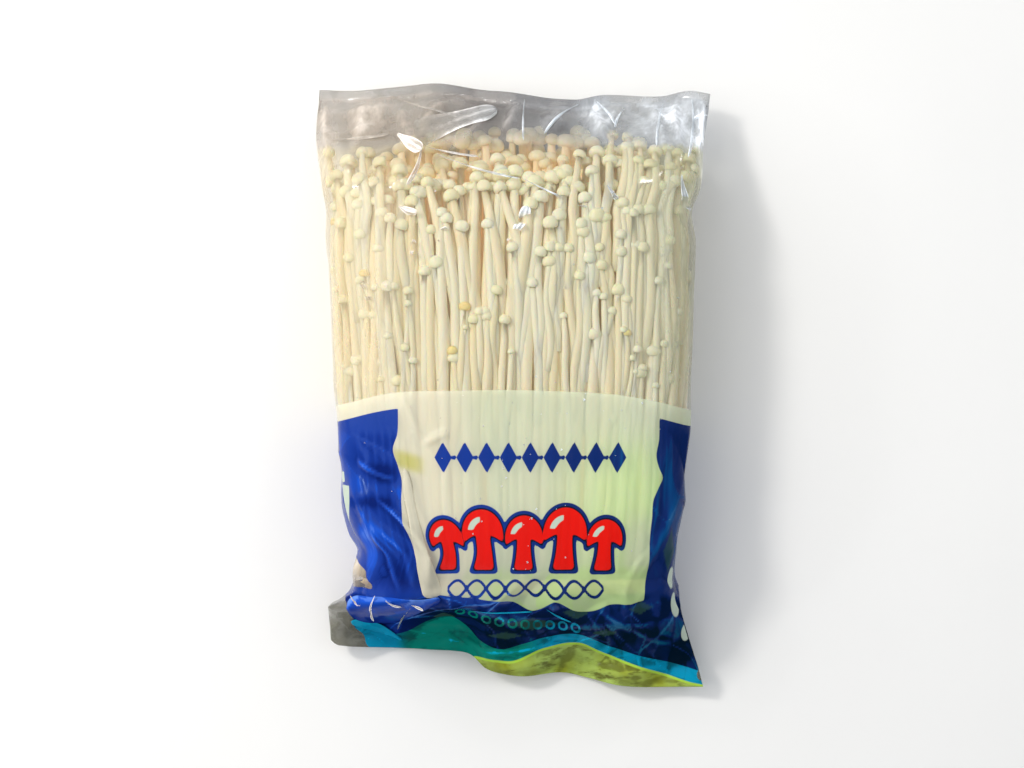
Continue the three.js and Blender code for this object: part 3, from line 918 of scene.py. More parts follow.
def spots(x: Array, y: Array, table: Stations) -> Array:
    """Sum of round spots, each fading from its strength as e to the minus squared distance.

    Args:
        x: place across.
        y: place along.
        table: x and y of each spot, its half length and half width, and its strength.

    Returns:
        The sum at each place.
    """
    return sum(
        strength * np.exp(-(((x - at_x) / wide) ** 2) - ((y - at_y) / tall) ** 2)
        for at_x, at_y, wide, tall, strength in table
    )


def join(one: Array, other: Array, blend: float) -> Array:
    """Union of two signed distances, rounded where they meet over a length of blend."""
    share = np.clip(0.5 + 0.5 * (other - one) / blend, 0, 1)
    return other + (one - other) * share - blend * share * (1 - share)


class Ink(Enum):
    """The inks in the order that they lie in, and last the places left bare. A value names the attribute."""

    CREAM = "cream"
    NAVY = "navy"
    TEAL = "teal"
    LIME = "lime"
    RED = "red"
    PALE = "pale"
    BARE = "bare"


# The film's other attributes: how milky and smoky it is at each vertex, its painted light, painted shade and
# painted greenish shade, and other tints
SHARES = ("haze", "tide", "painted_light", "smoke", "painted_shade", "painted_green_shade", "olive", "thin", "dim")


@dataclass(frozen=True)
class Marks:
    """The print on the film: fields of plain colour, and generic marks on the front panel.

    A method gives a signed distance in millimetres, below zero inside the ink, and thin gives a share.
    u is the distance round the bag from the middle of its front, and v the place along it. x and y
    are measured on the table, for the bands that follow the cut foot.
    """

    arch: Stations = (
        (-66, -8), (-58.6, -6.8), (-45.8, -3.6), (-36, -2.2), (-21, -1.9), (2, -1.7), (31.3, -3),
        (46.1, -5.3), (59.2, -8.6), (66, -9.6),
    )
    left_edge: Stations = (
        (-96, -22), (-74, -26.5), (-68.6, -28.6), (-63.5, -31.1), (-58, -32), (-51.5, -33.8),
        (-44.3, -36.5), (-38.4, -37.2), (-31.5, -37), (-26.6, -38.2), (-21.1, -39.9), (-15.7, -38.4),
        (-5, -38.2),
    )
    right_edge: Stations = (
        (-96, 42), (-69.3, 43.1), (-63.4, 43.8), (-54.1, 44.5), (-44.3, 44.9), (-38.4, 45.1), (-33.6, 47),
        (-30.6, 48.5), (-27.6, 47.3), (-23.2, 46.5), (-17.4, 47.6), (-5, 47.7),
    )
    panel_foot: Stations = (
        (-60, -66), (-36, -69.8), (-26, -69.5), (-8, -70.6), (-2, -71.4), (6, -74.2), (10, -73.4),
        (15, -71), (22, -74), (28, -73.9), (34, -72), (44, -71.2), (60, -69),
    )
    panel_gap: float = 5.3
    front_reach: float = 66.0
    far: float = 9.0
    teal_edge: Stations = (
        (-70, -82), (-55, -83.2), (-44, -86.4), (-37, -85.2), (-29, -80.4), (-22, -78.4), (-17, -82),
        (-12, -87.4), (-5, -90.4), (3, -88.6), (11, -86.1), (22, -84.8), (33, -89.6), (61, -97.6),
        (70, -98.6),
    )
    lime_edge: Stations = (
        (-70, -95), (-30, -96.5), (-14, -93.5), (-7, -94.4), (0, -94.6), (10, -90.2), (22, -88.4),
        (29, -91.5), (42, -96.2), (60, -102.2), (70, -104),
    )
    tail_edge: Stations = ((-96, -47), (-89, -51), (-83, -54.5), (-76, -55.8), (-70, -58), (-62, -58.5))
    lozenge: Pair = (3.0, 5.3)
    lozenge_u: float = 6.0
    lozenge_v: float = -23.8
    lozenge_step: float = 7.4
    lozenges_a_side: int = 4
    dot: float = 0.8
    mushroom_marks: Stations = (  # u, v and size
        (-24.6, -51, 0.84), (-11, -49, 1.02), (3.9, -50.2, 0.92), (18.4, -48.6, 1.05),
        (32.6, -51, 0.86),
    )
    outline: float = 1.45
    chain_middle: Pair = (4.4, -67.2)
    chain_reach: float = 28.4
    chain_start: float = -24.0
    chain_height: float = 2.7
    chain_length: float = 7.1
    chain_slope: float = 1.19
    chain_line: float = 0.52
    ring_step: float = 4.3
    ring_ends: Pair = (-17.2, 21.5)
    ring_v: float = -78.6
    ring_tilt: float = 0.06
    ring_radius: float = 1.35
    ring_line: float = 0.36
    pale_ovals: Stations = ((53.0, -64.5, 1.2, 3.6), (54.6, -74.0, 1.7, 4.4), (58.4, -84.4, 1.6, 3.2))
    slit_edge: Stations = ((-68, -46.8), (-60, -51.2), (-51.5, -55.6), (-44, -60))
    slit_reach: Pair = (-67.4, -47.0)
    lime_patch: tuple[float, float, float, float] = (-35.0, -25.0, 5.0, 3.0)
    thin_patches: Stations = (  # x, y, half width and half height of a lozenge of thin dark ink
        (20.5, -75.8, 4.6, 2.7), (42, -74.2, 4.4, 2.4), (6, -80.6, 9.5, 2.7), (-3, -85.4, 6, 1.6),
        (-24, -78.6, 4, 2.2), (51.5, -55, 2.4, 8), (30.5, -83.6, 5, 1.5),
    )
    pale_patches: Stations = ((-59.0, 3.3, -46.2, -33.4), (-60.2, 3.2, -32.4, -28.8))

    def panels(self, u: Array, v: Array, x: Array, field: Array) -> Array:
        """The dark side panels, and the dark field under the pale one.

        Args:
            u: place round the bag.
            v: place along it.
            x: place across the table.
            field: signed distance of the pale field.

        Returns:
            The signed distance at each place.
        """
        beside = np.maximum(along(self.left_edge, v) - x, x - along(self.right_edge, v))
        beside = np.where(np.abs(u) < self.front_reach, beside, self.far)
        side = np.maximum(-beside, field + self.panel_gap)
        return np.minimum(side, v - along(self.panel_foot, u))

    def lozenges(self, u: Array, v: Array) -> Array:
        """A row of upright lozenges with a dot between each two.

        Args:
            u: place round the bag.
            v: place along it.

        Returns:
            The signed distance at each place.
        """
        half_wide, half_tall = self.lozenge
        middle, dv = u - self.lozenge_u, v - self.lozenge_v
        reach = self.lozenges_a_side * self.lozenge_step
        nearest = np.clip(np.round(middle / self.lozenge_step) * self.lozenge_step, -reach, reach)
        shape = (np.abs(middle - nearest) / half_wide + np.abs(dv) / half_tall - 1) * half_wide * 0.87
        between = (np.floor(middle / self.lozenge_step) + 0.5) * self.lozenge_step
        dots = np.hypot(middle - np.clip(between, -reach, reach), dv) - self.dot
        return np.minimum(shape, np.where(np.abs(middle) < reach, dots, self.far))

    def mushrooms(self, u: Array, v: Array) -> Array:
        """A row of plump mushrooms: a domed cap with drooping ends over a stout stem that widens down.

        Args:
            u: place round the bag.
            v: place along it.

        Returns:
            The signed distance at each place.
        """
        total = np.full(np.broadcast(u, v).shape, 1e3)
        for at_u, at_v, size in self.mushroom_marks:
            du, dv = (u - at_u) / size, (v - at_v) / size
            cap = (np.hypot(du / 7.3, (dv + 0.4) / 8.4) - 1) * 7.3
            cap = -join(-cap, dv + 2.6 - 0.055 * (49 - np.minimum(du**2, 49)), 1.3)
            stem = np.abs(du) - 2.5 - 0.012 * np.clip(dv + 1, -11, 0) ** 2
            stem = -join(-stem, np.minimum(dv + 11.6, 2 - dv), 1.8)
            total = np.minimum(total, join(cap, stem, 0.8) * size)
        return total

    def glints(self, u: Array, v: Array) -> Array:
        """A pale crescent on each printed cap: one circle less another that is set to its right.

        Args:
            u: place round the bag.
            v: place along it.

        Returns:
            The signed distance at each place.
        """
        total = np.full(np.broadcast(u, v).shape, 1e3)
        for at_u, at_v, size in self.mushroom_marks:
            du, dv = (u - at_u) / size, (v - at_v) / size
            crescent = np.maximum(np.hypot(du, dv - 0.5) - 5.2, 5.1 - np.hypot(du - 1.5, dv + 0.6))
            total = np.minimum(total, np.maximum(crescent, np.maximum(du + 0.6, 1.4 - dv)) * size)
        return total

    def chain(self, u: Array, v: Array) -> Array:
        """A chain of thin ovals: two sine lines that cross.

        Args:
            u: place round the bag.
            v: place along it.

        Returns:
            The signed distance at each place.
        """
        middle_u, middle_v = self.chain_middle
        phase = (u - self.chain_start) * math.pi / self.chain_length
        wave, slope = self.chain_height * np.sin(phase), self.chain_slope * np.cos(phase)
        off = v - middle_v
        lines = np.minimum(np.abs(off - wave), np.abs(off + wave)) / np.hypot(1, slope)
        return np.maximum(lines - self.chain_line, np.abs(u - middle_u) - self.chain_reach)

    def small_rings(self, u: Array, v: Array) -> Array:
        """A row of small rings on the dark field.

        Args:
            u: place round the bag.
            v: place along it.

        Returns:
            The signed distance at each place.
        """
        nearest = np.clip(np.round(u / self.ring_step) * self.ring_step, *self.ring_ends)
        from_middle = np.hypot(u - nearest, v - self.ring_v + self.ring_tilt * u)
        return np.abs(from_middle - self.ring_radius) - self.ring_line

    def bare(self, x: Array, y: Array) -> Array:
        """Where the film has no ink although print is all round: down the left edge and the right tip.

        Args:
            x: place across the table.
            y: place along the table.

        Returns:
            The signed distance at each place.
        """
        tail = np.maximum(x - along(self.tail_edge, y) - 0.5 * np.sin(y), y + 64.0)
        slit = np.maximum(self.slit_reach[0] - y, y - self.slit_reach[1])
        slit = np.maximum(slit, x - along(self.slit_edge, y) - 0.4 * np.sin(1.3 * y))
        tip = np.hypot((x - 64.3) / 1.0, (y + 99.4) / 1.4) - 1.6
        return np.minimum(np.minimum(tail, tip), slit)

    def pale(self, x: Array, y: Array) -> Array:
        """Pale ovals down the right side, and pale patches down the left.

        Args:
            x: place across the table.
            y: place along the table.

        Returns:
            The signed distance at each place.
        """
        shapes = [(np.hypot((x - at_x) / wide, (y - at_y) / tall) - 1) * wide
                  for at_x, at_y, wide, tall in self.pale_ovals]
        for middle, half_wide, foot_y, top_y in self.pale_patches:
            slant = x - middle - 0.06 * (y - foot_y)
            shapes.append(np.maximum(np.abs(slant) - half_wide, np.maximum(foot_y - y, y - top_y)))
        return np.minimum.reduce(shapes)

    def thin(self, x: Array, y: Array) -> Array:
        """Where the dark ink is thin, in lozenges with crisp edges.

        Args:
            x: place across the table.
            y: place along the table.

        Returns:
            A share from 0 to 1 at each place.
        """
        shares = [1 - np.abs(x - at_x) / wide - np.abs(y - at_y) / tall
                  for at_x, at_y, wide, tall in self.thin_patches]
        return ramp(0.0, 0.12, np.maximum.reduce(shares))

    def fields(self, u: Array, v: Array, x: Array, y: Array) -> dict[str, Array]:
        """All the inks by name, each over those before it, and the painted shade and tints over them.

        Args:
            u: place round the bag.
            v: place along it.
            x: place across the table.
            y: place along the table.

        Returns:
            A signed distance for each ink and for the bare places, and six of the shares.
        """
        away = np.where(np.abs(u) < self.front_reach, 0.0, self.far)
        mushrooms, cream = self.mushrooms(u, v), v - along(self.arch, x)
        marks = np.minimum(np.minimum(self.lozenges(u, v), self.chain(u, v)), mushrooms - self.outline)
        # painted shade: darker towards the right, and on the foot from the middle rightwards
        painted_shade = np.maximum(ramp(-30, 30, u) * 0.8, ramp(-66, -80, v) * ramp(-45, -20, u))
        patch_x, patch_y, wide, tall = self.lime_patch
        patch = np.exp(-(((x - patch_x) / wide) ** 4) - ((y - patch_y - 0.3 * (patch_x - x)) / tall) ** 4)
        # painted greenish shade on the pale ink: towards the right, less in the lit lower corner, and on some
        # facets at the foot
        broken = 0.35 + 1.3 * facets(u, v, (9, 6), 0.4, 52, True)
        lit_corner = 1 - 0.6 * ramp(36, 44, u) * ramp(-38, -50, v)
        painted_green_shade = ramp(4, 42, u) * ramp(-6, -34, v) * lit_corner
        painted_green_shade = painted_green_shade + 0.9 * ramp(-58, -64, v) * ramp(-30, 0, u) * broken
        return {
            "cream": cream,
            "navy": np.minimum(self.panels(u, v, x, cream), marks + away),
            "teal": np.minimum(y - along(self.teal_edge, x), self.small_rings(u, v) + away),
            "lime": y - along(self.lime_edge, x),
            "red": mushrooms + away,
            "pale": np.minimum(self.pale(x, y), self.glints(u, v)) + away,
            "bare": self.bare(x, y),
            "painted_shade": painted_shade,
            "tide": ramp(-36, -42, x) + ramp(2, 14, x),
            "painted_green_shade": painted_green_shade,
            "olive": patch * (away < 1),
            "thin": (away < 1) * self.thin(x, y),
            "dim": ramp(-70, -76, y),
        }


@dataclass(frozen=True)
class FilmBag:
    """The film: one skin, front and back, with its folds and its print."""

    front_columns: int = 240
    rows: int = 252
    sheet_gap: float = 0.25
    row_density: Stations = (
        (0, 1.5), (0.12, 1.5), (0.2, 1.05), (0.48, 1), (0.55, 0.6), (0.82, 0.7), (0.9, 1.2), (1, 1.2),
    )
    frost: Stations = (  # x, y, half length and half width of a patch, and its strength
        (27, 93.5, 5, 6.5, 0.5), (50, 91, 10, 8, 0.5), (62, 88, 4, 12, 0.45),
        (-35, 81, 2.5, 2, 0.6), (-48, 89, 15, 7, 0.20), (64, 70, 3, 16, 0.35),
        (-64, 80, 3, 12, 0.3), (-22, 84, 9, 5, 0.25), (-53, -58, 5, 9, 0.55),
    )
    painted_light_spots: Stations = (  # x, y, half length and half width of a patch of painted light on the ink, and how much lighter it is: below zero, painted shade
        (-42, -28.3, 5, 2.8, -0.40), (-46.8, -38.6, 7.5, 1.9, -0.42), (-49, -49, 3.2, 3.6, 0.45),
        (-47, -54, 2.2, 3.5, 0.20), (-43, -33.6, 4, 2.2, 0.16), (-50, -22.5, 3.5, 3, -0.14),
        (-36, -55, 2, 7, -0.22), (51, -30, 2, 5, 0.15), (49, -58, 3, 6, -0.25),
        (-49.5, -30, 3, 6, 0.26), (-40.5, -41, 2.6, 3.2, 0.14), (-48, -58.5, 3, 4, 0.20),
        (28, -78.5, 9, 4, -0.22), (44, -76, 5, 3, -0.12), (-38.3, -62.5, 4.5, 6.5, -0.35),
        (56, -82, 3.5, 6, 0.22), (-50.5, -85, 3, 2.5, 0.5), (-30, -80.5, 5, 3, -0.3),
    )
    creases: tuple[Crease, ...] = (
        # the clear head of the bag
        Crease((-26, 74), (-15, 97), 3, 2.2, 6), Crease((-10, 93), (-22, 74), 2.2, 1, 3),
        Crease((-34, 97), (-27, 72), 2, 1.3, -2), Crease((-47, 99), (-52, 70), 2.6, 1.4, 2),
        Crease((-60, 98), (-57, 74), 2.2, 1.2, -1), Crease((2, 99), (-3, 84), 1.8, 1.6, 0.5),
        Crease((13, 98), (9, 70), 2.2, 1, -2), Crease((22, 97), (31, 72), 2.2, 2, 1.5),
        Crease((33, 98), (26, 80), 1.6, 1, 0.5), Crease((42, 99), (47, 68), 2.4, 1.7, 2),
        Crease((52, 100), (55, 72), 2.2, 1.9, -2), Crease((63, 99), (58, 76), 1.8, 1.6, 1),
        # lines that run out from where the head is gathered
        Crease((-29, 80), (2, 68), 1.7, 0.9, 1.2), Crease((-2, 69.5), (24, 59.5), 1.7, 0.8, 0.6),
        Crease((-29, 80), (14, 80), 1.7, 0.7, 1.6), Crease((-30, 80), (-37, 62), 1.8, 0.9, -1.5),
        Crease((-31, 82), (-62, 72), 1.9, 0.9, 2), Crease((-64, 84), (-38, 88), 2, 1, -1.4),
        Crease((-62, 90), (-36, 93), 1.8, 0.8, 1),
        # the pull of the film beside the panel
        Crease((-55, -14), (-46, -48), 3.4, 0.9, 3), Crease((-58, -30), (-40, -62), 3, 1.1, -2.5),
        Crease((-52, -44), (-34, -72), 2.6, 1.2, 2), Crease((-37, -40), (-30, -70), 2.2, 0.9, 1),
        Crease((-47.5, -37), (-30.5, -68), 1.5, 2.6, 4.2), Crease((-53, -46), (-38, -70), 2, 1.6, -2),
        Crease((-54, -24), (-40, -31), 1.8, 1.5, -1), Crease((-37, -2), (-29, -19), 2, 1.2, -0.6),
        Crease((-30.5, -20), (-20.5, -15.5), 1.9, 1.3, 0.5), Crease((-36, -24), (-25, -60), 1.8, 0.7, -1.5),
        Crease((55, -16), (50, -50), 3.2, 0.9, -2), Crease((58, -34), (44, -68), 3, 1.2, 2),
        Crease((51, -52), (38, -76), 2.4, 1, -1.5),
        # the crumpled foot
        Crease((-58, -73), (-26, -70), 3.2, 3.6, 2), Crease((-54, -82), (-18, -79), 2.4, 1.8, -1.5),
        Crease((-30, -76), (6, -80), 2.6, 1.6, 2.5), Crease((-2, -76), (30, -74), 2.2, 1.3, -2),
        Crease((12, -82), (56, -78), 2.6, 1.9, 2), Crease((28, -72), (58, -84), 2.2, 1.7, -2),
        Crease((-16, -92), (22, -86), 2, 1.6, 1.5), Crease((14, -93), (54, -88), 2, 1.5, -1.5),
    )
    head: Zone = Zone((66, 84), (100, 95))
    foot: Zone = Zone((-60, -75), (-96, -91))
    welds: Zone = Zone((-96, -92), (100.5, 96))
    slack_across: Pair = (30, 46)
    slack: Zone = Zone((4, -14), (-84, -66))
    wall_across: Zone = Zone((46, 60), (120, 100))
    wall: Zone = Zone((-90, -70), (92, 80))
    calm_across: Pair = (60, 50)
    calm: Zone = Zone((80, 60), (-72, -58))
    head_facets: tuple[Facets, ...] = (Facets(1.1, (9, 27), 0.2, 3), Facets(0.5, (4.5, 12), -0.3, 4))
    foot_facets: tuple[Facets, ...] = (Facets(2.9, (14, 8), 0.3, 5), Facets(0.7, (6, 4.5), -0.5, 8))
    slack_facets: Facets = Facets(1.2, (11, 20), 0.4, 12)
    wall_facets: Facets = Facets(0.8, (13, 24), -0.25, 15)
    foot_flap: Facets = Facets(1.9, (13, 8), 0.5, 31)
    head_flap: Facets = Facets(0.9, (9, 22), 0.1, 35)
    foot_flap_from: Pair = (-80, -90)
    head_flap_from: Pair = (84, 95)
    upright_from: Pair = (-68, -78)
    clear_of_table: Pair = (0.5, 9)
    # where facets get painted light and shade: the crushed foot, and the pulled film beside the panel
    crushed_from: Pair = (-66, -69)
    pulled_across: Pair = (30, 40)
    pulled: Zone = Zone((-8, -20), (-70, -62))
    # cells of painted light and shade on the crushed foot
    foot_tones: tuple[Facets, ...] = (Facets(0.7, (11, 7), 0.5, 50), Facets(0.3, (4.5, 3.5), -0.4, 51))
    sheets: Facets = Facets(1.1, (8, 15), 0.35, 38)
    dark_wall: Facets = Facets(0.6, (3, 6), 0.4, 44)

    def skin(self, form: BagForm) -> tuple[Array, Array, Array, Array, Array]:
        """The plain skin of the film, ring after ring from the foot to the top.

        Args:
            form: the bag's form.

        Returns:
            Its points, its outward directions, and u, v and face for every point.
        """
        dense = np.sin(math.pi / 2 * np.linspace(-1, 1, 4001))
        middle = form.film(dense, np.array(0.5), np.array(1))
        travelled = np.concatenate([[0.0], np.cumsum(np.linalg.norm(np.diff(middle, axis=0), axis=1))])
        half = travelled[-1] / 2
        front_u = np.linspace(-half, half, self.front_columns + 1)
        back_u = np.linspace(half, -half, self.front_columns // 2 + 1)[1:-1]
        across = np.interp(np.concatenate([front_u, back_u]) + half, travelled, dense)
        face = np.concatenate([np.ones(len(front_u)), -np.ones(len(back_u))])
        turned = np.where(back_u >= 0, 2 * half - back_u, -2 * half - back_u)
        u = np.concatenate([front_u, turned])
        fine = np.linspace(0, 1, 1001)
        packed = np.concatenate([[0.0], np.cumsum(along(self.row_density, fine)[1:])])
        share = np.interp(np.linspace(0, packed[-1], self.rows), packed, fine)
        points = form.film(across[None, :], share[:, None], face[None, :])
        round_it = np.roll(points, -1, axis=1) - np.roll(points, 1, axis=1)
        up_it = np.gradient(points, axis=0)
        outward = np.cross(round_it, up_it)
        outward /= np.maximum(np.linalg.norm(outward, axis=-1, keepdims=True), 1e-9)
        v = form.foot_y + (form.top_y - form.foot_y) * share
        grid = np.broadcast_arrays(u[None, :], v[:, None], face[None, :])
        return points, outward, grid[0], grid[1], grid[2]

    def folds(self, form: BagForm, u: Array, v: Array) -> Array:
        """How far the folds lift the film off its plain form.

        It sums the creases that are placed one by one and crumpled stretches that set in by zone:
        long folds at the head, tight film over the stems, slack film beside the panel, and a
        crushed foot.

        Args:
            form: the bag's form, for how much room there is between front and back.
            u: distance round the bag.
            v: place along it.

        Returns:
            The height at each place.
        """
        off = np.abs(u)
        foot = self.foot.share(v)
        height = self.welds.share(v) * sum(crease.height_at(u, v) for crease in self.creases)
        height = height + self.head.share(v) * sum(part.heights(u, v) for part in self.head_facets)
        height = height + foot * sum(part.heights(u, v) for part in self.foot_facets)
        slack = ramp(*self.slack_across, off) * self.slack.share(v)
        height = height + slack * self.slack_facets.heights(u, v)
        height = height + self.wall_across.share(off) * self.wall.share(v) * self.wall_facets.heights(u, v)
        over_stems = 0.14 * crumple(0.8 * u, 0.3 * v, 19, 21, 4) + 0.10 * crumple(u, 0.05 * v, 3.6, 7, 3)
        height = height + ramp(*self.calm_across, off) * self.calm.share(v) * over_stems
        _, _, _, half = form.section(v, 0.0)
        deepest = 0.45 + np.minimum(0.6 * half, 2.2) * (foot + ramp(88, 94, v))
        return np.maximum(height, -deepest)

    def build(self, form: BagForm, marks: Marks) -> Skin:
        """Points, faces and attributes of the film.

        Args:
            form: the bag's form.
            marks: the print.

        Returns:
            What make_piece takes after the name.
        """
        points, outward, u, v, face = self.skin(form)
        x, y = points[..., 0].copy(), points[..., 1].copy()
        height = self.folds(form, u, v)
        upright = ramp(*self.upright_from, v)[..., None]
        outward = (1 - upright) * outward + upright * face[..., None] * np.array([0.0, 0.0, 1.0])
        lying = np.where(face < 0, ramp(*self.clear_of_table, points[..., 2]), 1.0)
        points = points + outward * (height * lying)[..., None]
        flap = ramp(*self.foot_flap_from, v) * self.foot_flap.heights(x, y)
        flap = flap + ramp(*self.head_flap_from, v) * self.head_flap.heights(x, y)
        points[..., 2] = np.maximum(points[..., 2] + flap, 0.02 * (face + 1))
        front, back = points[:, : self.front_columns + 1, 2], points[:, : self.front_columns : -1, 2]
        under = np.empty_like(front)
        under[:, ::2] = np.concatenate([front[:, :1], back, front[:, -1:]], axis=1)
        under[:, 1::2] = (under[:, :-1:2] + under[:, 2::2]) / 2
        number = np.arange(self.front_columns + 1)
        gap = self.sheet_gap * np.minimum(np.minimum(number, number[::-1]) / 6, 1)
        points[:, : self.front_columns + 1, 2] = np.maximum(front, under + gap)
        rows, ring = points.shape[:2]
        foot = [block[:, ::-1] for block in self.end_faces(0)]
        faces = [ring_faces(rows, ring), *foot, *self.end_faces((rows - 1) * ring)]
        attributes = marks.fields(u, v, x, y)
        attributes["haze"] = self.haze(x, y, v, height)
        darkest = ramp(-34, -16, x) * ramp(36, 16, x) * ramp(78, 93, v + 0.1 * np.abs(x))
        wall = ramp(58.5, 61, x) * ramp(10, 20, y) * ramp(50, 40, y)
        attributes["smoke"] = ramp(78, 88, v) * (0.46 + 0.46 * darkest)
        attributes["dim"] = attributes["dim"] + wall * self.dark_wall.tones(x, y)
        # painted light and shade on the ink: a lightness for each facet of the crushed foot and of the pulled
        # film, lighter on ridges and darker in hollows, and the painted light spots
        crushed = ramp(*self.crushed_from, v + 0.05 * np.abs(u))
        broken = sum(part.tones(u, v) for part in self.foot_tones)
        pulled = ramp(*self.pulled_across, np.abs(u)) * self.pulled.share(v)
        bent = self.slack_facets.tones(u, v) / self.slack_facets.height
        ridge = height - 0.25 * sum(neighbours(height))
        ridge = np.clip((5 + 4 * crushed) * ridge, -0.25, 0.4 + 0.3 * crushed) * np.maximum(crushed, pulled)
        tones = 0.5 + soften(crushed * (1.1 * broken - 0.80), 2) + soften(pulled * (0.4 * bent - 0.15), 5)
        attributes["painted_light"] = tones + ridge + (face > 0) * spots(x, y, self.painted_light_spots)
        return points.reshape(-1, 3), faces, attributes

    def end_faces(self, start: int) -> tuple[Array, Array]:
        """Faces that close one end of the skin, with one back edge to two front edges.

        Args:
            start: number of the first vertex of the end's ring.

        Returns:
            Faces of five corners, and the four-cornered ones at the two sides, facing the top.
        """
        front, ring = self.front_columns, self.front_columns * 3 // 2
        back = np.arange(1, front // 2 - 1)
        mate = front - 2 * back
        strip = np.stack([front + back, front + back + 1, mate - 2, mate - 1, mate], axis=-1)
        sides = np.array([[front, front + 1, front - 2, front - 1], [ring - 1, 0, 1, 2]])
        return strip + start, sides + start

    def haze(self, x: Array, y: Array, v: Array, height: Array) -> Array:
        """How milky the clear film is: at the weld and the sides, on crests, and in frosted patches.

        A patch fades out from its middle as e to the minus squared distance.

        Args:
            x: place across the table.
            y: place along the table.
            v: place along it.
            height: the height of the folds.

        Returns:
            A share from 0 to 1.
        """
        weld = 0.15 * np.exp(-(((v - 97.0) / 0.8) ** 2))
        head = ramp(70, 88, v)
        veil = ramp(-8, 2, v) * ramp(88, 66, v) * (0.26 * ramp(-30, -46, x) + 0.40 * ramp(34, 54, x))
        patches = spots(x, y, self.frost)
        crests = head * (0.06 + 0.18 * np.clip(height, 0, 2))
        return np.clip(weld + crests + patches * (0.35 + self.sheets.tones(x, y)) + veil, 0, 1)


class Relief:
    """The height of the finished front of the film, in cells of one millimetre."""

    def __init__(self, points: Array) -> None:
        """Takes the highest point in each cell, and evens the cells out with their neighbours.

        Args:
            points: the film's points, one row of x, y and z each.
        """
        self.corner = points[:, :2].min(axis=0)
        place = np.round(points[:, :2] - self.corner).astype(int)
        cells = np.zeros(place.max(axis=0) + 1)
        np.maximum.at(cells, (place[:, 0], place[:, 1]), points[:, 2])
        round_it = neighbours(cells)
        self.cells = 0.4 * np.maximum(cells, np.maximum.reduce(round_it) - 1.0) + 0.15 * sum(round_it)

    def height(self, x: Array, y: Array) -> Array:
        """Height of the film, blended between the four nearest cells.

        Args:
            x: place across the table.
            y: place along the table.

        Returns:
            The height at each place.
        """
        a = np.clip(x - self.corner[0], 0, self.cells.shape[0] - 1.001)
        b = np.clip(y - self.corner[1], 0, self.cells.shape[1] - 1.001)
        i, j = a.astype(int), b.astype(int)
        fa, fb = a - i, b - j
        near = (1 - fb) * self.cells[i, j] + fb * self.cells[i, j + 1]
        return (1 - fa) * near + fa * ((1 - fb) * self.cells[i + 1, j] + fb * self.cells[i + 1, j + 1])


@dataclass(frozen=True)
class Lobe:
    """A loose fold of film that lies on the bag, clear or inked: a flat tongue with a round end.

    bow is how far its middle lies off its line. Over the first two thirds of its length its half
    width goes from the first share of grow to the second, and from round_from on it narrows to its
    end. Its milk comes in over the share fade of its length.
    """

    start: Pair
    end: Pair
    half_width: float
    height: float
    bow: float = 0.0
    milk: float = 0.3
    rows: int = 44
    columns: int = 18
    lift: float = 0.4
    round_from: float = 0.8
    ink: Ink | None = None
    grow: Pair = (0.25, 1.0)
    fade: float = 0.0

    def mesh(self, relief: Relief) -> tuple[Array, Array, Array]:
        """Rings of points round the fold, on the film's front.

        A ring goes over the fold, where its height is the root of 1 minus the squared share of the
        half width, and back under it. The half width closes at both ends as a circle does.

        Args:
            relief: the film under the fold.

        Returns:
            The points, the faces, and how milky each point is.
        """
        share = np.linspace(0.0, 1.0, self.rows)[:, None]
        turn = circle(2 * self.columns)[None, :]
        run = np.subtract(self.end, self.start)
        length = float(np.hypot(*run))
        side = np.array([run[1], -run[0]]) / length
        late = np.clip((share - self.round_from) / (1 - self.round_from), 0, 0.999)
        early = np.clip(1 - share / 0.06, 0, 0.999)
        width = self.grow[0] + (self.grow[1] - self.grow[0]) * ramp(0, 0.65, share)
        half = self.half_width * width * np.sqrt(1 - late**2) * np.sqrt(1 - early**2)
        out = half * np.cos(turn) + self.bow * 4 * share * (1 - share)
        flutter = 0.35 * np.sin(share * 9.0 + self.start[0]) * np.cos(turn)
        x = self.start[0] + run[0] * share + side[0] * out
        y = self.start[1] + run[1] * share + side[1] * out
        over = np.where(np.sin(turn) >= 0, np.sin(turn), 0.12 * np.sin(turn))
        closing = np.minimum(half / (0.25 * self.half_width), 1)
        z = relief.height(x, y) + self.lift + (self.height * over * (0.4 + 0.6 * share) + flutter) * closing
        ends = np.array([[a[row].mean() for a in (x, y, z)] for row in (0, -1)])
        points = np.concatenate([np.stack([x, y, z], axis=-1).reshape(-1, 3), ends])
        faces = [make(self.rows, 2 * self.columns)[:, ::-1] for make in (ring_faces, end_fans)]
        # milkier where the fold turns over at its edges, and in streaks across it: painted highlights
        crest = np.cos(turn) ** 8 * np.where(np.cos(turn) > 0, 1.0, 0.5)
        crest = crest + 0.35 * np.maximum(0, np.sin(7 * np.cos(turn) + 3 * share))
        shown = ramp(-0.01, self.fade, share)
        milk = np.append((self.milk * (0.6 + 2.2 * crest) * shown).ravel(), [0.0, self.milk])
        return points, faces, milk


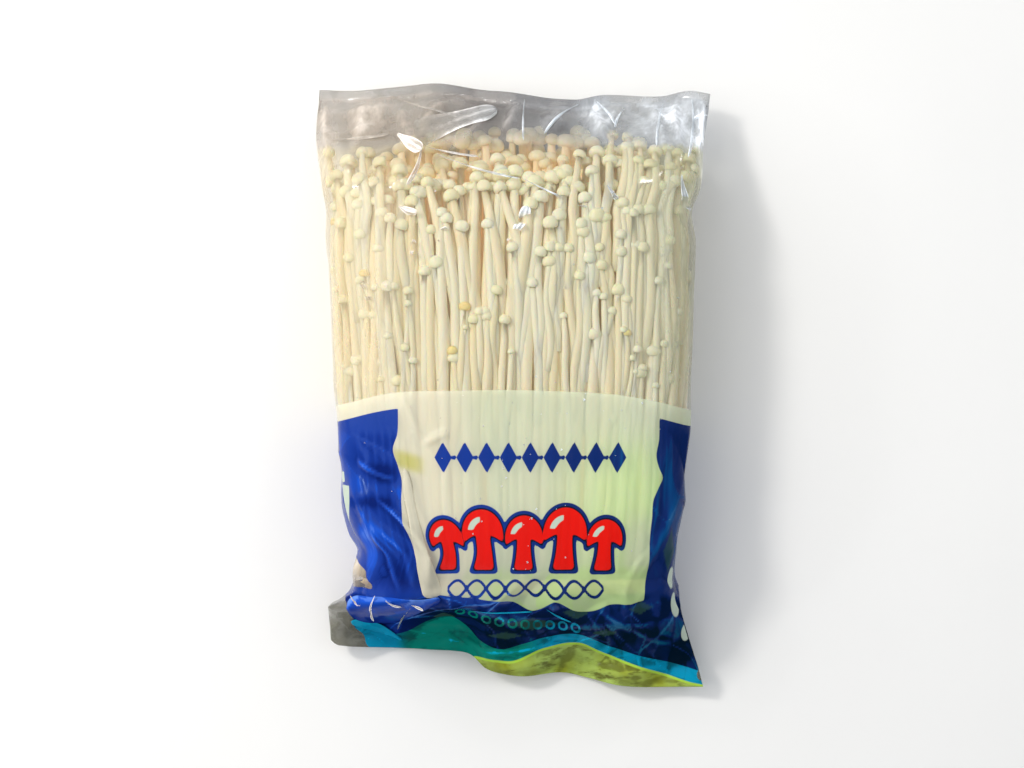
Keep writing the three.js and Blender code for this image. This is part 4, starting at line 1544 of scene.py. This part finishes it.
@dataclass(frozen=True)
class LooseFolds:
    """Folds, nips and rolls of film that lie loose on the bag."""

    lobes: tuple[Lobe, ...] = (
        Lobe((-33.5, 84), (-5.9, 94.4), 5.2, 1.4, -0.6, 0.42, grow=(1.05, 0.62), fade=0.55),
        Lobe((-39.5, 84.5), (-31, 78.2), 2.3, 0.9, 0, 1, lift=0.7),
        # lines where the clear head is creased
        Lobe((-42, 99), (-15.5, 90.4), 0.35, 0.2, 0.6, 0.35, 30, 4),
        Lobe((3.4, 98), (3, 82), 0.35, 0.2, 0.3, 0.5, 20, 4),
        Lobe((22, 96), (10, 84.5), 0.5, 0.3, 1.6, 0.5, 24, 4),
        Lobe((28, 97.5), (34, 88.5), 0.5, 0.3, -0.8, 0.6, 20, 4),
        Lobe((38, 95), (34, 87), 0.4, 0.2, 0.8, 0.6, 20, 4),
        Lobe((51, 97), (47.5, 80), 0.4, 0.2, 0.6, 0.5, 24, 4),
        Lobe((60.6, 98), (58, 76), 0.5, 0.3, -1.2, 0.55, 28, 4),
        Lobe((66, 92), (61, 90.6), 0.6, 0.3, 0.4, 0.7, 16, 4),
        Lobe((-31, 79.5), (-35.5, 66), 0.8, 0.4, -1, 0.5, 24, 5),
        Lobe((-29.5, 79.5), (-12, 76), 0.4, 0.2, 0.5, 0.5, 24, 4),
        Lobe((-26, 77), (2, 68.2), 0.35, 0.2, 1, 0.5, 30, 4),
        Lobe((3, 68), (24, 58.6), 0.35, 0.2, 0.5, 0.5, 26, 4),
        Lobe((-62, 83), (-42, 84.6), 0.5, 0.2, 0.8, 0.35, 26, 4),
        # wet nips that stand off the stems, so milky that they glow: painted glints
        Lobe((-38.6, 59.6), (-32.2, 56.6), 1.3, 0.5, 0.6, 1.1, 18, 8, 0.5),
        Lobe((-28.8, 49.6), (-22, 51.6), 1, 0.5, 0.5, 1.1, 18, 8, 0.5),
        Lobe((-2.6, 47.4), (4.4, 59.2), 1.8, 0.6, 0.8, 0.9, 24, 8, 0.5),
        Lobe((-43.4, 30.8), (-40.5, 38.8), 0.8, 0.3, 0.3, 1, 16, 6, 0.5),
        Lobe((-53.2, 37.5), (-47, 24.5), 1, 0.3, -0.7, 0.4, 18, 6, 0.5),
        Lobe((-34.8, 41), (-33, 48), 0.8, 0.3, 0.2, 1, 16, 6, 0.5),
        Lobe((30.5, 66), (35, 60.5), 0.7, 0.3, 0.3, 0.6, 14, 6, 0.5),
        Lobe((55.5, 70), (58.5, 58), 1.1, 0.3, 0.8, 0.5, 18, 6, 0.5),
        # the slack flap of pale film beside the panel
        Lobe((-26.6, -70.6), (-36.2, -27.4), 3.3, 0.9, -0.6, 0.16, 64, 12, 0.1, 0.85, Ink.CREAM, (1, 0.5)),
        # the rolled corner and the crushed foot
        Lobe((-24.4, -71.2), (-56.4, -75.2), 5.9, 2.8, -2.2, 0.1, 44, 18, 0.2, ink=Ink.NAVY),
        Lobe((-39, -88.6), (-55.8, -80.6), 2, 0.9, 0.8, 0.1, 28, 8, 0.2, ink=Ink.TEAL),
        # thin milky folds on the roll: their whiteness is painted highlight
        Lobe((-46, -69.4), (-47.8, -80.2), 0.42, 0.15, 1, 0.7, 20, 5, 2.6),
        Lobe((-55, -70.4), (-51.2, -73.6), 0.42, 0.15, 0.3, 0.6, 16, 4, 2.4),
        Lobe((-42.6, -70.8), (-37.6, -73.8), 0.42, 0.15, 0.5, 0.7, 16, 5, 2.8),
        Lobe((-34.4, -73.2), (-30.6, -75.6), 0.55, 0.15, -0.2, 0.9, 16, 5, 2.2),
        Lobe((-34.4, -74), (-40.4, -84.4), 0.28, 0.15, 0.5, 0.2, 20, 4, 1.8),
        Lobe((10.6, -74.6), (19, -79.6), 0.36, 0.3, 0.4, 0.1, 20, 5, 0.1, ink=Ink.TEAL),
        Lobe((-16, -75), (6, -75.6), 0.30, 0.3, 0.8, 0.1, 24, 5, 0, ink=Ink.TEAL),
    )

    far: float = 9.0
    # painted light and shade for each facet of a fold
    tones: Facets = Facets(0.45, (7, 4), 0.3, 60)
    roll_light: float = 0.38
    teal_light: float = 0.25

    @staticmethod
    def drops(count: int = 130) -> "LooseFolds":
        """Small drops of water on the front: flat round lobes, most of them over the pale panel. Their milk
        is whitest and glows at their edges: painted highlights.

        Args:
            count: how many there are.

        Returns:
            The drops, to be meshed like the folds.
        """
        rng = np.random.default_rng(77)
        x = np.clip(rng.normal(6, 26, count), -52, 54)
        y = np.where(rng.uniform(0, 1, count) < 0.65, rng.uniform(-62, -3, count), rng.uniform(-3, 66, count))
        radius = 0.15 + 0.33 * rng.uniform(0, 1, count) ** 2.5
        rise = rng.uniform(1.6, 2.6, count)
        return LooseFolds(tuple(
            Lobe((at_x, at_y), (at_x + 0.1, at_y + size * tall), size, 0.7 * size, 0, 0.5, 6, 4, 0.02, 0.4)
            for at_x, at_y, size, tall in zip(x, y, radius, rise)
        ))

    def mesh(self, relief: Relief) -> Skin:
        """All the folds as one mesh.

        Args:
            relief: the film under them.

        Returns:
            What make_piece takes after the name.
        """
        points, quads, fans, start = [], [], [], 0
        table = {name: [] for name in (*(ink.value for ink in Ink), *SHARES)}
        for lobe in self.lobes:
            skin, faces, milk = lobe.mesh(relief)
            points.append(skin)
            quads.append(faces[0] + start)
            fans.append(faces[1] + start)
            start += len(skin)
            x, y = skin[:, 0], skin[:, 1]
            values = {ink.value: -self.far if ink is lobe.ink else self.far for ink in Ink}
            values |= {"haze": milk, "tide": 1.0, "painted_light": 0.40 + self.tones.tones(x, y)}
            if lobe.ink:
                values["dim"] = 1.0
            else:
                # clear folds: warmer on the lit left and cooler on the shaded right, as painted light and
                # shade
                values |= {"smoke": 0.05, "painted_shade": 0.1 + 0.8 * ramp(-40, 14, x)}
            if lobe.ink is Ink.NAVY:  # painted light on the upper side of the roll, painted shade on the lower one
                values["painted_light"] += self.roll_light * np.cos(np.arange(len(skin)) * math.pi / lobe.columns)
            elif lobe.ink is Ink.TEAL:
                # teal folds are lighter, up to a painted highlight
                values["painted_light"] += self.teal_light
            for name, column in table.items():
                column.append(np.broadcast_to(values.get(name, 0.0), len(skin)))
        attributes = {name: np.concatenate(column) for name, column in table.items()}
        return np.concatenate(points), [np.concatenate(quads), np.concatenate(fans)], attributes


# ---- Finishes


class Nodes:
    """A short way to write a node material."""

    def __init__(self, name: str) -> None:
        """Makes an empty node material."""
        self.material = bpy.data.materials.new(name)
        self.material.use_nodes = True
        self.tree = self.material.node_tree
        self.tree.nodes.clear()

    def add(
        self, kind: str, inputs: dict[str | int, Feed] | None = None, **settings: object
    ) -> bpy.types.Node:
        """Adds a node.

        Args:
            kind: the node's type, without its ShaderNode prefix.
            inputs: what goes into its sockets, by name or number: a value, or a socket to link. A
                colour of three numbers is one as seen on a screen.
            **settings: the node's own settings.

        Returns:
            The node.
        """
        node = self.tree.nodes.new("ShaderNode" + kind)
        for key, value in settings.items():
            setattr(node, key, value)
        for key, value in (inputs or {}).items():
            socket = node.inputs[key]
            if isinstance(value, Socket):
                self.tree.links.new(value, socket)
            elif socket.type == "RGBA" and len(value) == 3:
                socket.default_value = linear(*value)
            else:
                socket.default_value = value
        return node

    def attribute(self, name: str) -> Socket:
        """A number that the mesh holds for each vertex."""
        return self.add("Attribute", attribute_name=name).outputs["Fac"]

    def step(
        self, value: Socket, low: float, high: float, to_low: float = 0.0, to_high: float = 1.0
    ) -> Socket:
        """Maps low to high onto to_low to to_high, held at both ends."""
        inputs = {"Value": value, "From Min": low, "From Max": high, "To Min": to_low, "To Max": to_high}
        return self.add("MapRange", inputs).outputs["Result"]

    def mix(self, share: Feed, one: Feed, other: Feed) -> Socket:
        """Mixes two colours, which are sockets or values, by a share."""
        return self.add("Mix", {0: share, 6: one, 7: other}, data_type="RGBA").outputs[2]

    def blend(self, share: Feed, one: Feed, other: Feed) -> Socket:
        """Mixes two numbers, which are sockets or values, by a share."""
        return self.add("Mix", {0: share, 2: one, 3: other}, data_type="FLOAT").outputs[0]

    def math(self, operation: str, one: Feed, other: Feed) -> Socket:
        """Works out a number from two, which are sockets or values."""
        return self.add("Math", {0: one, 1: other}, operation=operation).outputs[0]

    def noise(self, scale: Triple, detail: float, roughness: float = 0.5) -> Socket:
        """Noise on the object's own coordinates.

        Args:
            scale: how fine it is along each axis.
            detail: how many finer layers lie on it.
            roughness: how strong those are.

        Returns:
            A socket with the noise, from 0 to 1.
        """
        place = self.add("TexCoord").outputs["Object"]
        sized = self.add("Mapping", {"Vector": place, "Scale": scale}).outputs["Vector"]
        inputs = {"Vector": sized, "Scale": 1.0, "Detail": detail, "Roughness": roughness}
        return self.add("TexNoise", inputs).outputs["Fac"]

    def finish(self, shader: Socket) -> bpy.types.Material:
        """Links a shader to the output and returns the material."""
        self.add("OutputMaterial", {"Surface": shader})
        return self.material


@dataclass(frozen=True)
class Flesh:
    """Mushroom flesh: ivory stems, creamier caps, and painted warm shade and glow where stems stand close
    together.
    """

    stem: Colour = (0.975, 0.950, 0.870)
    stem_warm: Colour = (0.965, 0.905, 0.765)
    cap: Colour = (0.985, 0.970, 0.885)
    cap_dark: Colour = (0.975, 0.945, 0.80)
    # painted warm shade for the flesh deep in the bunch, where stems stand close together
    deep: Colour = (0.995, 0.905, 0.77)
    earth: Colour = (0.62, 0.50, 0.34)
    # a painted glow of that same flesh, which gives off light though it is no lamp
    glow: Colour = (1.0, 0.83, 0.62)
    glow_strength: float = 0.22
    withered: Colour = (0.97, 0.88, 0.62)
    roughness: float = 0.34
    scatter: float = 0.35
    scatter_ratio: Triple = (1.0, 0.55, 0.25)
    scatter_depth: float = 0.0016
    fibre_depth: float = 0.0002

    def material(self) -> bpy.types.Material:
        """The finish, with fibres along the stems."""
        n = Nodes("mushroom_flesh")
        is_cap, tone = n.attribute("is_cap"), n.attribute("tone")
        fibre = n.noise((1100, 45, 1100), 3)
        mottle = n.noise((160, 90, 160), 2)
        stem = n.mix(tone, self.stem, self.stem_warm)
        stem = n.mix(n.step(fibre, 0.45, 0.75, 0, 0.45), stem, self.stem_warm)
        cap = n.mix(tone, self.cap, self.cap_dark)
        cap = n.mix(n.step(mottle, 0.5, 0.8, 0, 0.5), cap, self.cap_dark)
        cap = n.mix(n.step(tone, 0.95, 0.96), cap, self.withered)
        colour = n.mix(is_cap, stem, cap)
        # painted warm shade and painted glow: more the deeper a mushroom stands, and more on stems than on
        # caps
        painted_warmth = n.blend(is_cap, 0.75, 0.3)
        painted_warmth = n.math("MULTIPLY", painted_warmth, n.attribute("depth"))
        colour = n.mix(painted_warmth, colour, self.deep)
        colour = n.mix(n.step(n.attribute("up_stem"), 0.0, 0.12, 0.8, 0.0), colour, self.earth)
        bump = n.add("Bump", {"Height": fibre, "Strength": 0.5, "Distance": self.fibre_depth}).outputs[0]
        flesh = n.add("BsdfPrincipled", {
            "Base Color": colour, "Roughness": self.roughness, "Specular IOR Level": 0.5, "Normal": bump,
            "Subsurface Weight": self.scatter, "Subsurface Radius": self.scatter_ratio,
            "Subsurface Scale": self.scatter_depth, "Emission Color": self.glow,
            "Emission Strength": n.step(painted_warmth, 0, 1, 0, self.glow_strength),
        }).outputs[0]
        return n.finish(flesh)


@dataclass(frozen=True)
class FilmFinish:
    """The film: clear, with inks over its lower half, and painted light and shade in the inks and the milk.
    The pale ink lets some of the stems through.
    """

    clear_tint: Colour = (0.945, 0.945, 0.935)
    smoke_tint: Colour = (0.72, 0.72, 0.73)
    # milky film: warm for the lit left, green and cool for the shaded right, as painted light and shade
    warm_veil: Colour = (0.955, 0.88, 0.72)
    green_veil: Colour = (0.71, 0.74, 0.62)
    warm_frost: Colour = (0.88, 0.82, 0.76)
    frost: Colour = (0.86, 0.91, 0.97)
    cream: Colour = (0.86, 0.90, 0.79)
    # pale ink on the lit left: painted light
    cream_lit: Colour = (0.955, 0.94, 0.855)
    # pale ink turned green by painted greenish shade
    cream_green_shade: Colour = (0.84, 0.97, 0.66)
    olive_wash: Colour = (0.84, 0.83, 0.46)
    navy: Colour = (0.09, 0.22, 0.58)
    # navy on the shaded right: painted shade
    navy_shade: Colour = (0.05, 0.14, 0.34)
    navy_thin: Colour = (0.20, 0.33, 0.27)
    # khaki over the bare film at the foot
    umber: Colour = (0.42, 0.44, 0.30)
    # dark navy on facets and in hollows in painted shade, on the left and on the shaded right; navy_deep is
    # also the print's dark outline round the red marks
    navy_deep: Colour = (0.005, 0.09, 0.14)
    navy_dark: Colour = (0.03, 0.11, 0.38)
    # navy in painted light on the left and on the shaded right, and flashing as a painted highlight
    navy_lit: Colour = (0.10, 0.34, 0.82)
    navy_sheen: Colour = (0.01, 0.31, 0.44)
    navy_flash: Colour = (0.42, 0.60, 0.95)
    navy_glow: Colour = (0.10, 0.36, 0.50)
    teal: Colour = (0.01, 0.52, 0.46)
    teal_bright: Colour = (0.01, 0.58, 0.74)
    # teal flashing as a painted highlight, and dark teal in painted shade
    teal_flash: Colour = (0.02, 0.74, 0.92)
    teal_deep: Colour = (0.0, 0.26, 0.28)
    lime: Colour = (0.62, 0.66, 0.18)
    lime_pale: Colour = (0.70, 0.80, 0.40)
    # dark lime: painted shade in creases and on facets
    lime_crease_shade: Colour = (0.36, 0.36, 0.14)
    lime_edge: Colour = (0.72, 0.88, 0.30)
    red: Colour = (0.88, 0.09, 0.06)
    pale: Colour = (0.76, 0.82, 0.76)
    cover: dict[Ink, float] = field(default_factory=lambda: {
        Ink.CREAM: 0.55, Ink.NAVY: 0.985, Ink.TEAL: 0.95, Ink.LIME: 0.86, Ink.RED: 0.97, Ink.PALE: 0.9,
    })
    edge: float = 0.12
    # how strongly the thickest milk glows: a painted glint
    painted_glint: float = 0.6
    umber_cover: float = 0.22
    film_roughness: float = 0.13
    milk_roughness: float = 0.3
    ink_roughness: float = 0.17
    ink_mirror: Colour = (0.45, 0.72, 1.0)
    mirror_square: float = 0.055  # share mirrored by film that is looked at square on, and edge on
    mirror_edge: float = 0.8
    wobble_depth: float = 0.0008

    def material(self) -> bpy.types.Material:
        """The finish: clear film that mirrors by its angle, under layers of ink."""
        n = Nodes("bag_film")
        smoke, dim, painted_shade, painted_light = (n.attribute(name) for name in ("smoke", "dim", "painted_shade", "painted_light"))
        wobble = n.noise((70, 55, 70), 3, 0.6)
        bump = n.add("Bump", {"Height": wobble, "Strength": 0.3, "Distance": self.wobble_depth}).outputs[0]
        tint = n.mix(smoke, self.clear_tint, self.smoke_tint)
        tint = n.mix(dim, tint, self.smoke_tint)
        see = n.add("BsdfTransparent", {"Color": tint}).outputs[0]
        shine = {"Color": (1.0, 1.0, 1.0, 1.0), "Roughness": self.film_roughness, "Normal": bump}
        mirror = n.add("BsdfGlossy", shine).outputs[0]
        facing = n.add("LayerWeight", {"Blend": 0.5, "Normal": bump}).outputs["Facing"]
        steep = n.math("POWER", facing, 5.0)
        angle = n.step(steep, 0, 1, self.mirror_square, self.mirror_edge)
        clear = n.add("MixShader", {0: angle, 1: see, 2: mirror}).outputs[0]
        # the milk is warmer on the lit left and cooler on the shaded right: painted light and shade
        veil = n.mix(painted_shade, self.warm_veil, self.green_veil)
        frost = n.mix(painted_shade, self.warm_frost, self.frost)
        patch = n.step(n.noise((230, 40, 230), 3, 0.6), 0.3, 0.7, 0.5, 1.4)
        milky = n.math("MULTIPLY", n.attribute("haze"), patch)
        milk = n.add("BsdfPrincipled", {
            "Base Color": n.mix(n.step(smoke, 0.0, 0.05), veil, frost),
            "Roughness": self.milk_roughness, "Specular IOR Level": 0.6, "Normal": bump,
            "Emission Color": (1.0, 1.0, 1.0, 1.0),
            # the thickest milk glows: a painted glint
            "Emission Strength": n.step(milky, 0.45, 1.1, 0.0, self.painted_glint),
        }).outputs[0]
        film = n.add("MixShader", {0: n.step(milky, 0, 1, 0.05, 0.85), 1: clear, 2: milk}).outputs[0]
        colour, cover = self.ink(n)
        gloss = n.step(painted_light, 0.38, 0.5, 0.0, 0.17)
        lit = n.step(painted_light, 0.56, 0.72, 1.0, 0.35)
        dull = n.math("MAXIMUM", painted_shade, dim)
        gloss = n.math("MULTIPLY", n.math("MULTIPLY", gloss, lit), n.step(dull, 0, 1, 1.0, 0.1))
        ink = n.add("BsdfPrincipled", {
            "Base Color": colour, "Roughness": self.ink_roughness, "Normal": bump,
            "Specular Tint": (*self.ink_mirror, 1.0), "Specular IOR Level": gloss,
        }).outputs[0]
        return n.finish(n.add("MixShader", {0: cover, 1: film, 2: ink}).outputs[0])

    def lime_ink(self, n: Nodes) -> Socket:
        """Lime with painted brown shade in its creases and on facets, and a bright line along its edge.

        Args:
            n: the material that it is for.

        Returns:
            A socket with the colour.
        """
        cloudy = n.step(n.noise((90, 60, 90), 3), 0.35, 0.65)
        lime = n.mix(cloudy, self.lime, self.lime_pale)
        # darker in streaky creases: painted shade
        crease_shade = n.step(n.noise((120, 420, 120), 4, 0.7), 0.52, 0.66, 0, 0.8)
        lime = n.mix(crease_shade, lime, self.lime_crease_shade)
        # dark lime where the painted light is low: painted shade on facets
        lime = n.mix(n.step(n.attribute("painted_light"), -0.15, 0.35, 0.65, 0.0), lime, self.lime_crease_shade)
        return n.mix(n.step(n.attribute("lime"), -1.1, -0.7), lime, self.lime_edge)

    def ink(self, n: Nodes) -> tuple[Socket, Socket]:
        """The colour of the inks, one over the other, with their painted light and shade, and how much they
        cover.

        Args:
            n: the material that they are for.

        Returns:
            Sockets with the colour and the cover.
        """
        # painted greenish shade on the pale ink, in blotches
        blotch = n.step(n.noise((14, 30, 14), 3), 0.42, 0.62)
        green_shaded = n.math("MULTIPLY", n.attribute("painted_green_shade"), n.step(blotch, 0, 1, 0.55, 1))
        painted_light, painted_shade, dim = n.attribute("painted_light"), n.attribute("painted_shade"), n.attribute("dim")
        teal = n.mix(n.attribute("tide"), self.teal, self.teal_bright)
        # darker navy on the right: painted shade
        navy = n.mix(painted_shade, self.navy, self.navy_shade)
        # dark navy where the painted light is low, lighter where it is high, and a flash where it is highest:
        # painted shade, painted light and painted highlights
        deep = n.mix(painted_shade, self.navy_dark, self.navy_deep)
        navy = n.mix(n.step(painted_light, 0.05, 0.48, 0.9, 0.0), navy, deep)
        lit = n.mix(painted_shade, self.navy_lit, self.navy_sheen)
        navy = n.mix(n.step(painted_light, 0.56, 0.8, 0.0, 0.7), navy, lit)
        flash = n.mix(painted_shade, self.navy_flash, self.navy_glow)
        navy = n.mix(n.step(painted_light, 0.84, 1.15, 0.0, 0.8), navy, flash)
        navy = n.mix(n.step(n.attribute("red"), 0.55, 0.35), navy, self.navy_deep)
        # the pale ink is lighter towards the lit left: painted light
        cream = n.mix(n.step(painted_shade, 0.0, 0.22), self.cream_lit, self.cream)
        cream = n.mix(n.attribute("olive"), cream, self.olive_wash)
        # teal flashes where the painted light is high: a painted highlight
        teal = n.mix(n.step(painted_light, 0.8, 1.05, 0.0, 0.8), teal, self.teal_flash)
        colour = n.mix(green_shaded, cream, self.cream_green_shade)
        cover = n.step(n.attribute("cream"), self.edge, -self.edge, 0, self.cover[Ink.CREAM])
        over = {
            Ink.NAVY: n.mix(n.step(n.attribute("thin"), 0, 1, 0, 0.55), navy, self.navy_thin),
            # dark teal where the painted light is low: painted shade
            Ink.TEAL: n.mix(n.step(painted_light, -0.2, 0.35, 0.75, 0.0), teal, self.teal_deep),
            Ink.LIME: self.lime_ink(n),
            Ink.RED: self.red,
            Ink.PALE: self.pale,
        }
        for ink, paint in over.items():
            mask = n.step(n.attribute(ink.value), self.edge, -self.edge)
            colour = n.mix(mask, colour, paint)
            cover = n.blend(mask, cover, self.cover[ink])
        left = n.step(n.attribute("bare"), -self.edge, self.edge, 0.12, 1.0)
        cover = n.math("MULTIPLY", cover, left)
        bare = n.step(n.attribute("bare"), self.edge, -self.edge)
        # khaki over the bare film at the foot
        umber_share = n.math("MULTIPLY", bare, dim)
        return n.mix(umber_share, colour, self.umber), n.blend(umber_share, cover, self.umber_cover)


# ---- The studio


@dataclass(frozen=True)
class Lamp:
    """A soft lamp: where it stands, how wide it is, how strong, and its colour. In metres and watts."""

    place: Triple
    width: float
    watts: float
    colour: Colour = (1.0, 1.0, 1.0)
    mirrored: bool = True

    def stand(self, name: str) -> None:
        """Puts the lamp in the scene, facing the bag.

        Args:
            name: the lamp's name.
        """
        data = bpy.data.lights.new(name, "AREA")
        data.size, data.energy, data.color = self.width, self.watts, self.colour
        lamp = bpy.data.objects.new(name, data)
        lamp.location = self.place
        lamp.visible_glossy = self.mirrored
        lamp.rotation_mode = "QUATERNION"
        lamp.rotation_quaternion = (-Vector(self.place)).to_track_quat("-Z", "Y")
        bpy.context.scene.collection.objects.link(lamp)


@dataclass(frozen=True)
class Studio:
    """A pale floor, soft lamps and the camera straight above the front of the bag."""

    width_seen: float = 350.7
    aim: Triple = (-0.86, 0.34, 12.0)
    camera_height: float = 760.0
    floor_size: float = 3.0
    floor_drop: float = 0.0002
    sky_strength: float = 0.44
    sky: Paint = (0.95, 0.97, 1.0, 1.0)
    floor_dark: Paint = (0.88, 0.88, 0.88, 1.0)
    floor_light: Paint = (0.9, 0.9, 0.9, 1.0)
    floor_roughness: float = 0.7
    grain_left: float = 0.03
    lamps: tuple[Lamp, ...] = (
        Lamp((-0.66, 0.34, 0.74), 1.1, 5.0, (1.0, 0.965, 0.90)),
        Lamp((-0.62, 0.44, 0.74), 0.16, 5.0, (1.0, 0.965, 0.90), False),
        Lamp((0.66, 0.34, 0.74), 0.9, 1.8, (0.92, 0.97, 1.0)),
        Lamp((-0.10, -0.85, 0.62), 0.7, 0.8),
        Lamp((-0.55, 0.62, 0.56), 0.05, 0.50),
        Lamp((-0.85, -0.15, 0.50), 0.05, 0.45),
        Lamp((0.35, 0.80, 0.55), 0.05, 0.35),
    )

    def build(self) -> None:
        """Makes the camera, the lamps, the sky and the floor."""
        scene = bpy.context.scene
        data = bpy.data.cameras.new("camera")
        camera = bpy.data.objects.new("camera", data)
        data.lens = data.sensor_width * self.camera_height / self.width_seen
        camera.location = Vector(self.aim) * MM + Vector((0, 0, self.camera_height * MM))
        scene.collection.objects.link(camera)
        scene.camera = camera
        scene.cycles.adaptive_threshold = self.grain_left
        for number, lamp in enumerate(self.lamps):
            lamp.stand(f"lamp_{number}")
        world = bpy.data.worlds.new("sky")
        world.use_nodes = True
        background = world.node_tree.nodes["Background"]
        background.inputs["Color"].default_value = self.sky
        background.inputs["Strength"].default_value = self.sky_strength
        scene.world = world
        scene.view_settings.view_transform = "Standard"
        half, low = self.floor_size / 2 / MM, -self.floor_drop / MM
        corners = np.array([[-half, -half, low], [half, -half, low], [half, half, low], [-half, half, low]])
        floor = make_piece("floor", corners, [np.array([[0, 1, 2, 3]])])
        n = Nodes("pale_floor")
        grain = n.noise((9, 9, 9), 2)
        colour = n.mix(n.step(grain, 0.3, 0.7), self.floor_dark, self.floor_light)
        matt = n.add("BsdfPrincipled", {"Base Color": colour, "Roughness": self.floor_roughness}).outputs[0]
        floor.data.materials.append(n.finish(matt))


# ---- Putting it together


class BaggedBunch:
    """The whole object: the bunch and the film round it."""

    def __init__(self) -> None:
        """Takes the form of the bag and the plans of its pieces."""
        self.form = BagForm()
        self.bunch = Bunch()
        self.film = FilmBag()
        self.loose = LooseFolds()
        self.marks = Marks()

    def dress(self, piece: bpy.types.Object, finish: bpy.types.Material, slot: str, *nodes: str) -> None:
        """Gives a piece its finish, hangs it on the root body and hides the solids that it stands for.

        Args:
            piece: the piece.
            finish: its material.
            slot: the material slot that it belongs to; not used.
            *nodes: the solids that it stands for.
        """
        piece.data.materials.append(finish)
        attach(piece, "root")
        if nodes:
            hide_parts(*nodes)
        LOG.info("%s: %d faces", piece.name, len(piece.data.polygons))

    def build(self) -> None:
        """Makes every piece."""
        flesh = Flesh().material()
        outer = self.bunch.outer_shape.mesh(self.form, self.bunch.outer(self.form), 31)
        self.dress(make_piece("outer_mushrooms", *outer), flesh, "mushroom_flesh", "enoki_bunch")
        young = self.bunch.young_shape.mesh(self.form, self.bunch.young(self.form), 33)
        self.dress(make_piece("young_mushrooms", *young), flesh, "mushroom_flesh")
        inner = self.bunch.inner_shape.mesh(self.form, self.bunch.inner(self.form), 32)
        self.dress(make_piece("inner_mushrooms", *inner), flesh, "mushroom_flesh")
        self.dress(make_piece("bunch_core", *self.bunch.core(self.form)), flesh, "mushroom_flesh")
        clear = FilmFinish().material()
        film = self.film.build(self.form, self.marks)
        self.dress(make_piece("film_skin", *film), clear, "bag_film", "film_bag")
        relief = Relief(film[0])
        self.dress(make_piece("loose_folds", *self.loose.mesh(relief)), clear, "bag_film")
        self.dress(make_piece("water_drops", *self.loose.drops().mesh(relief)), clear, "bag_film")


def main() -> None:
    logging.basicConfig(level=logging.INFO, format="%(name)s: %(message)s")
    Studio().build()
    BaggedBunch().build()


if __name__ == "__main__":
    main()
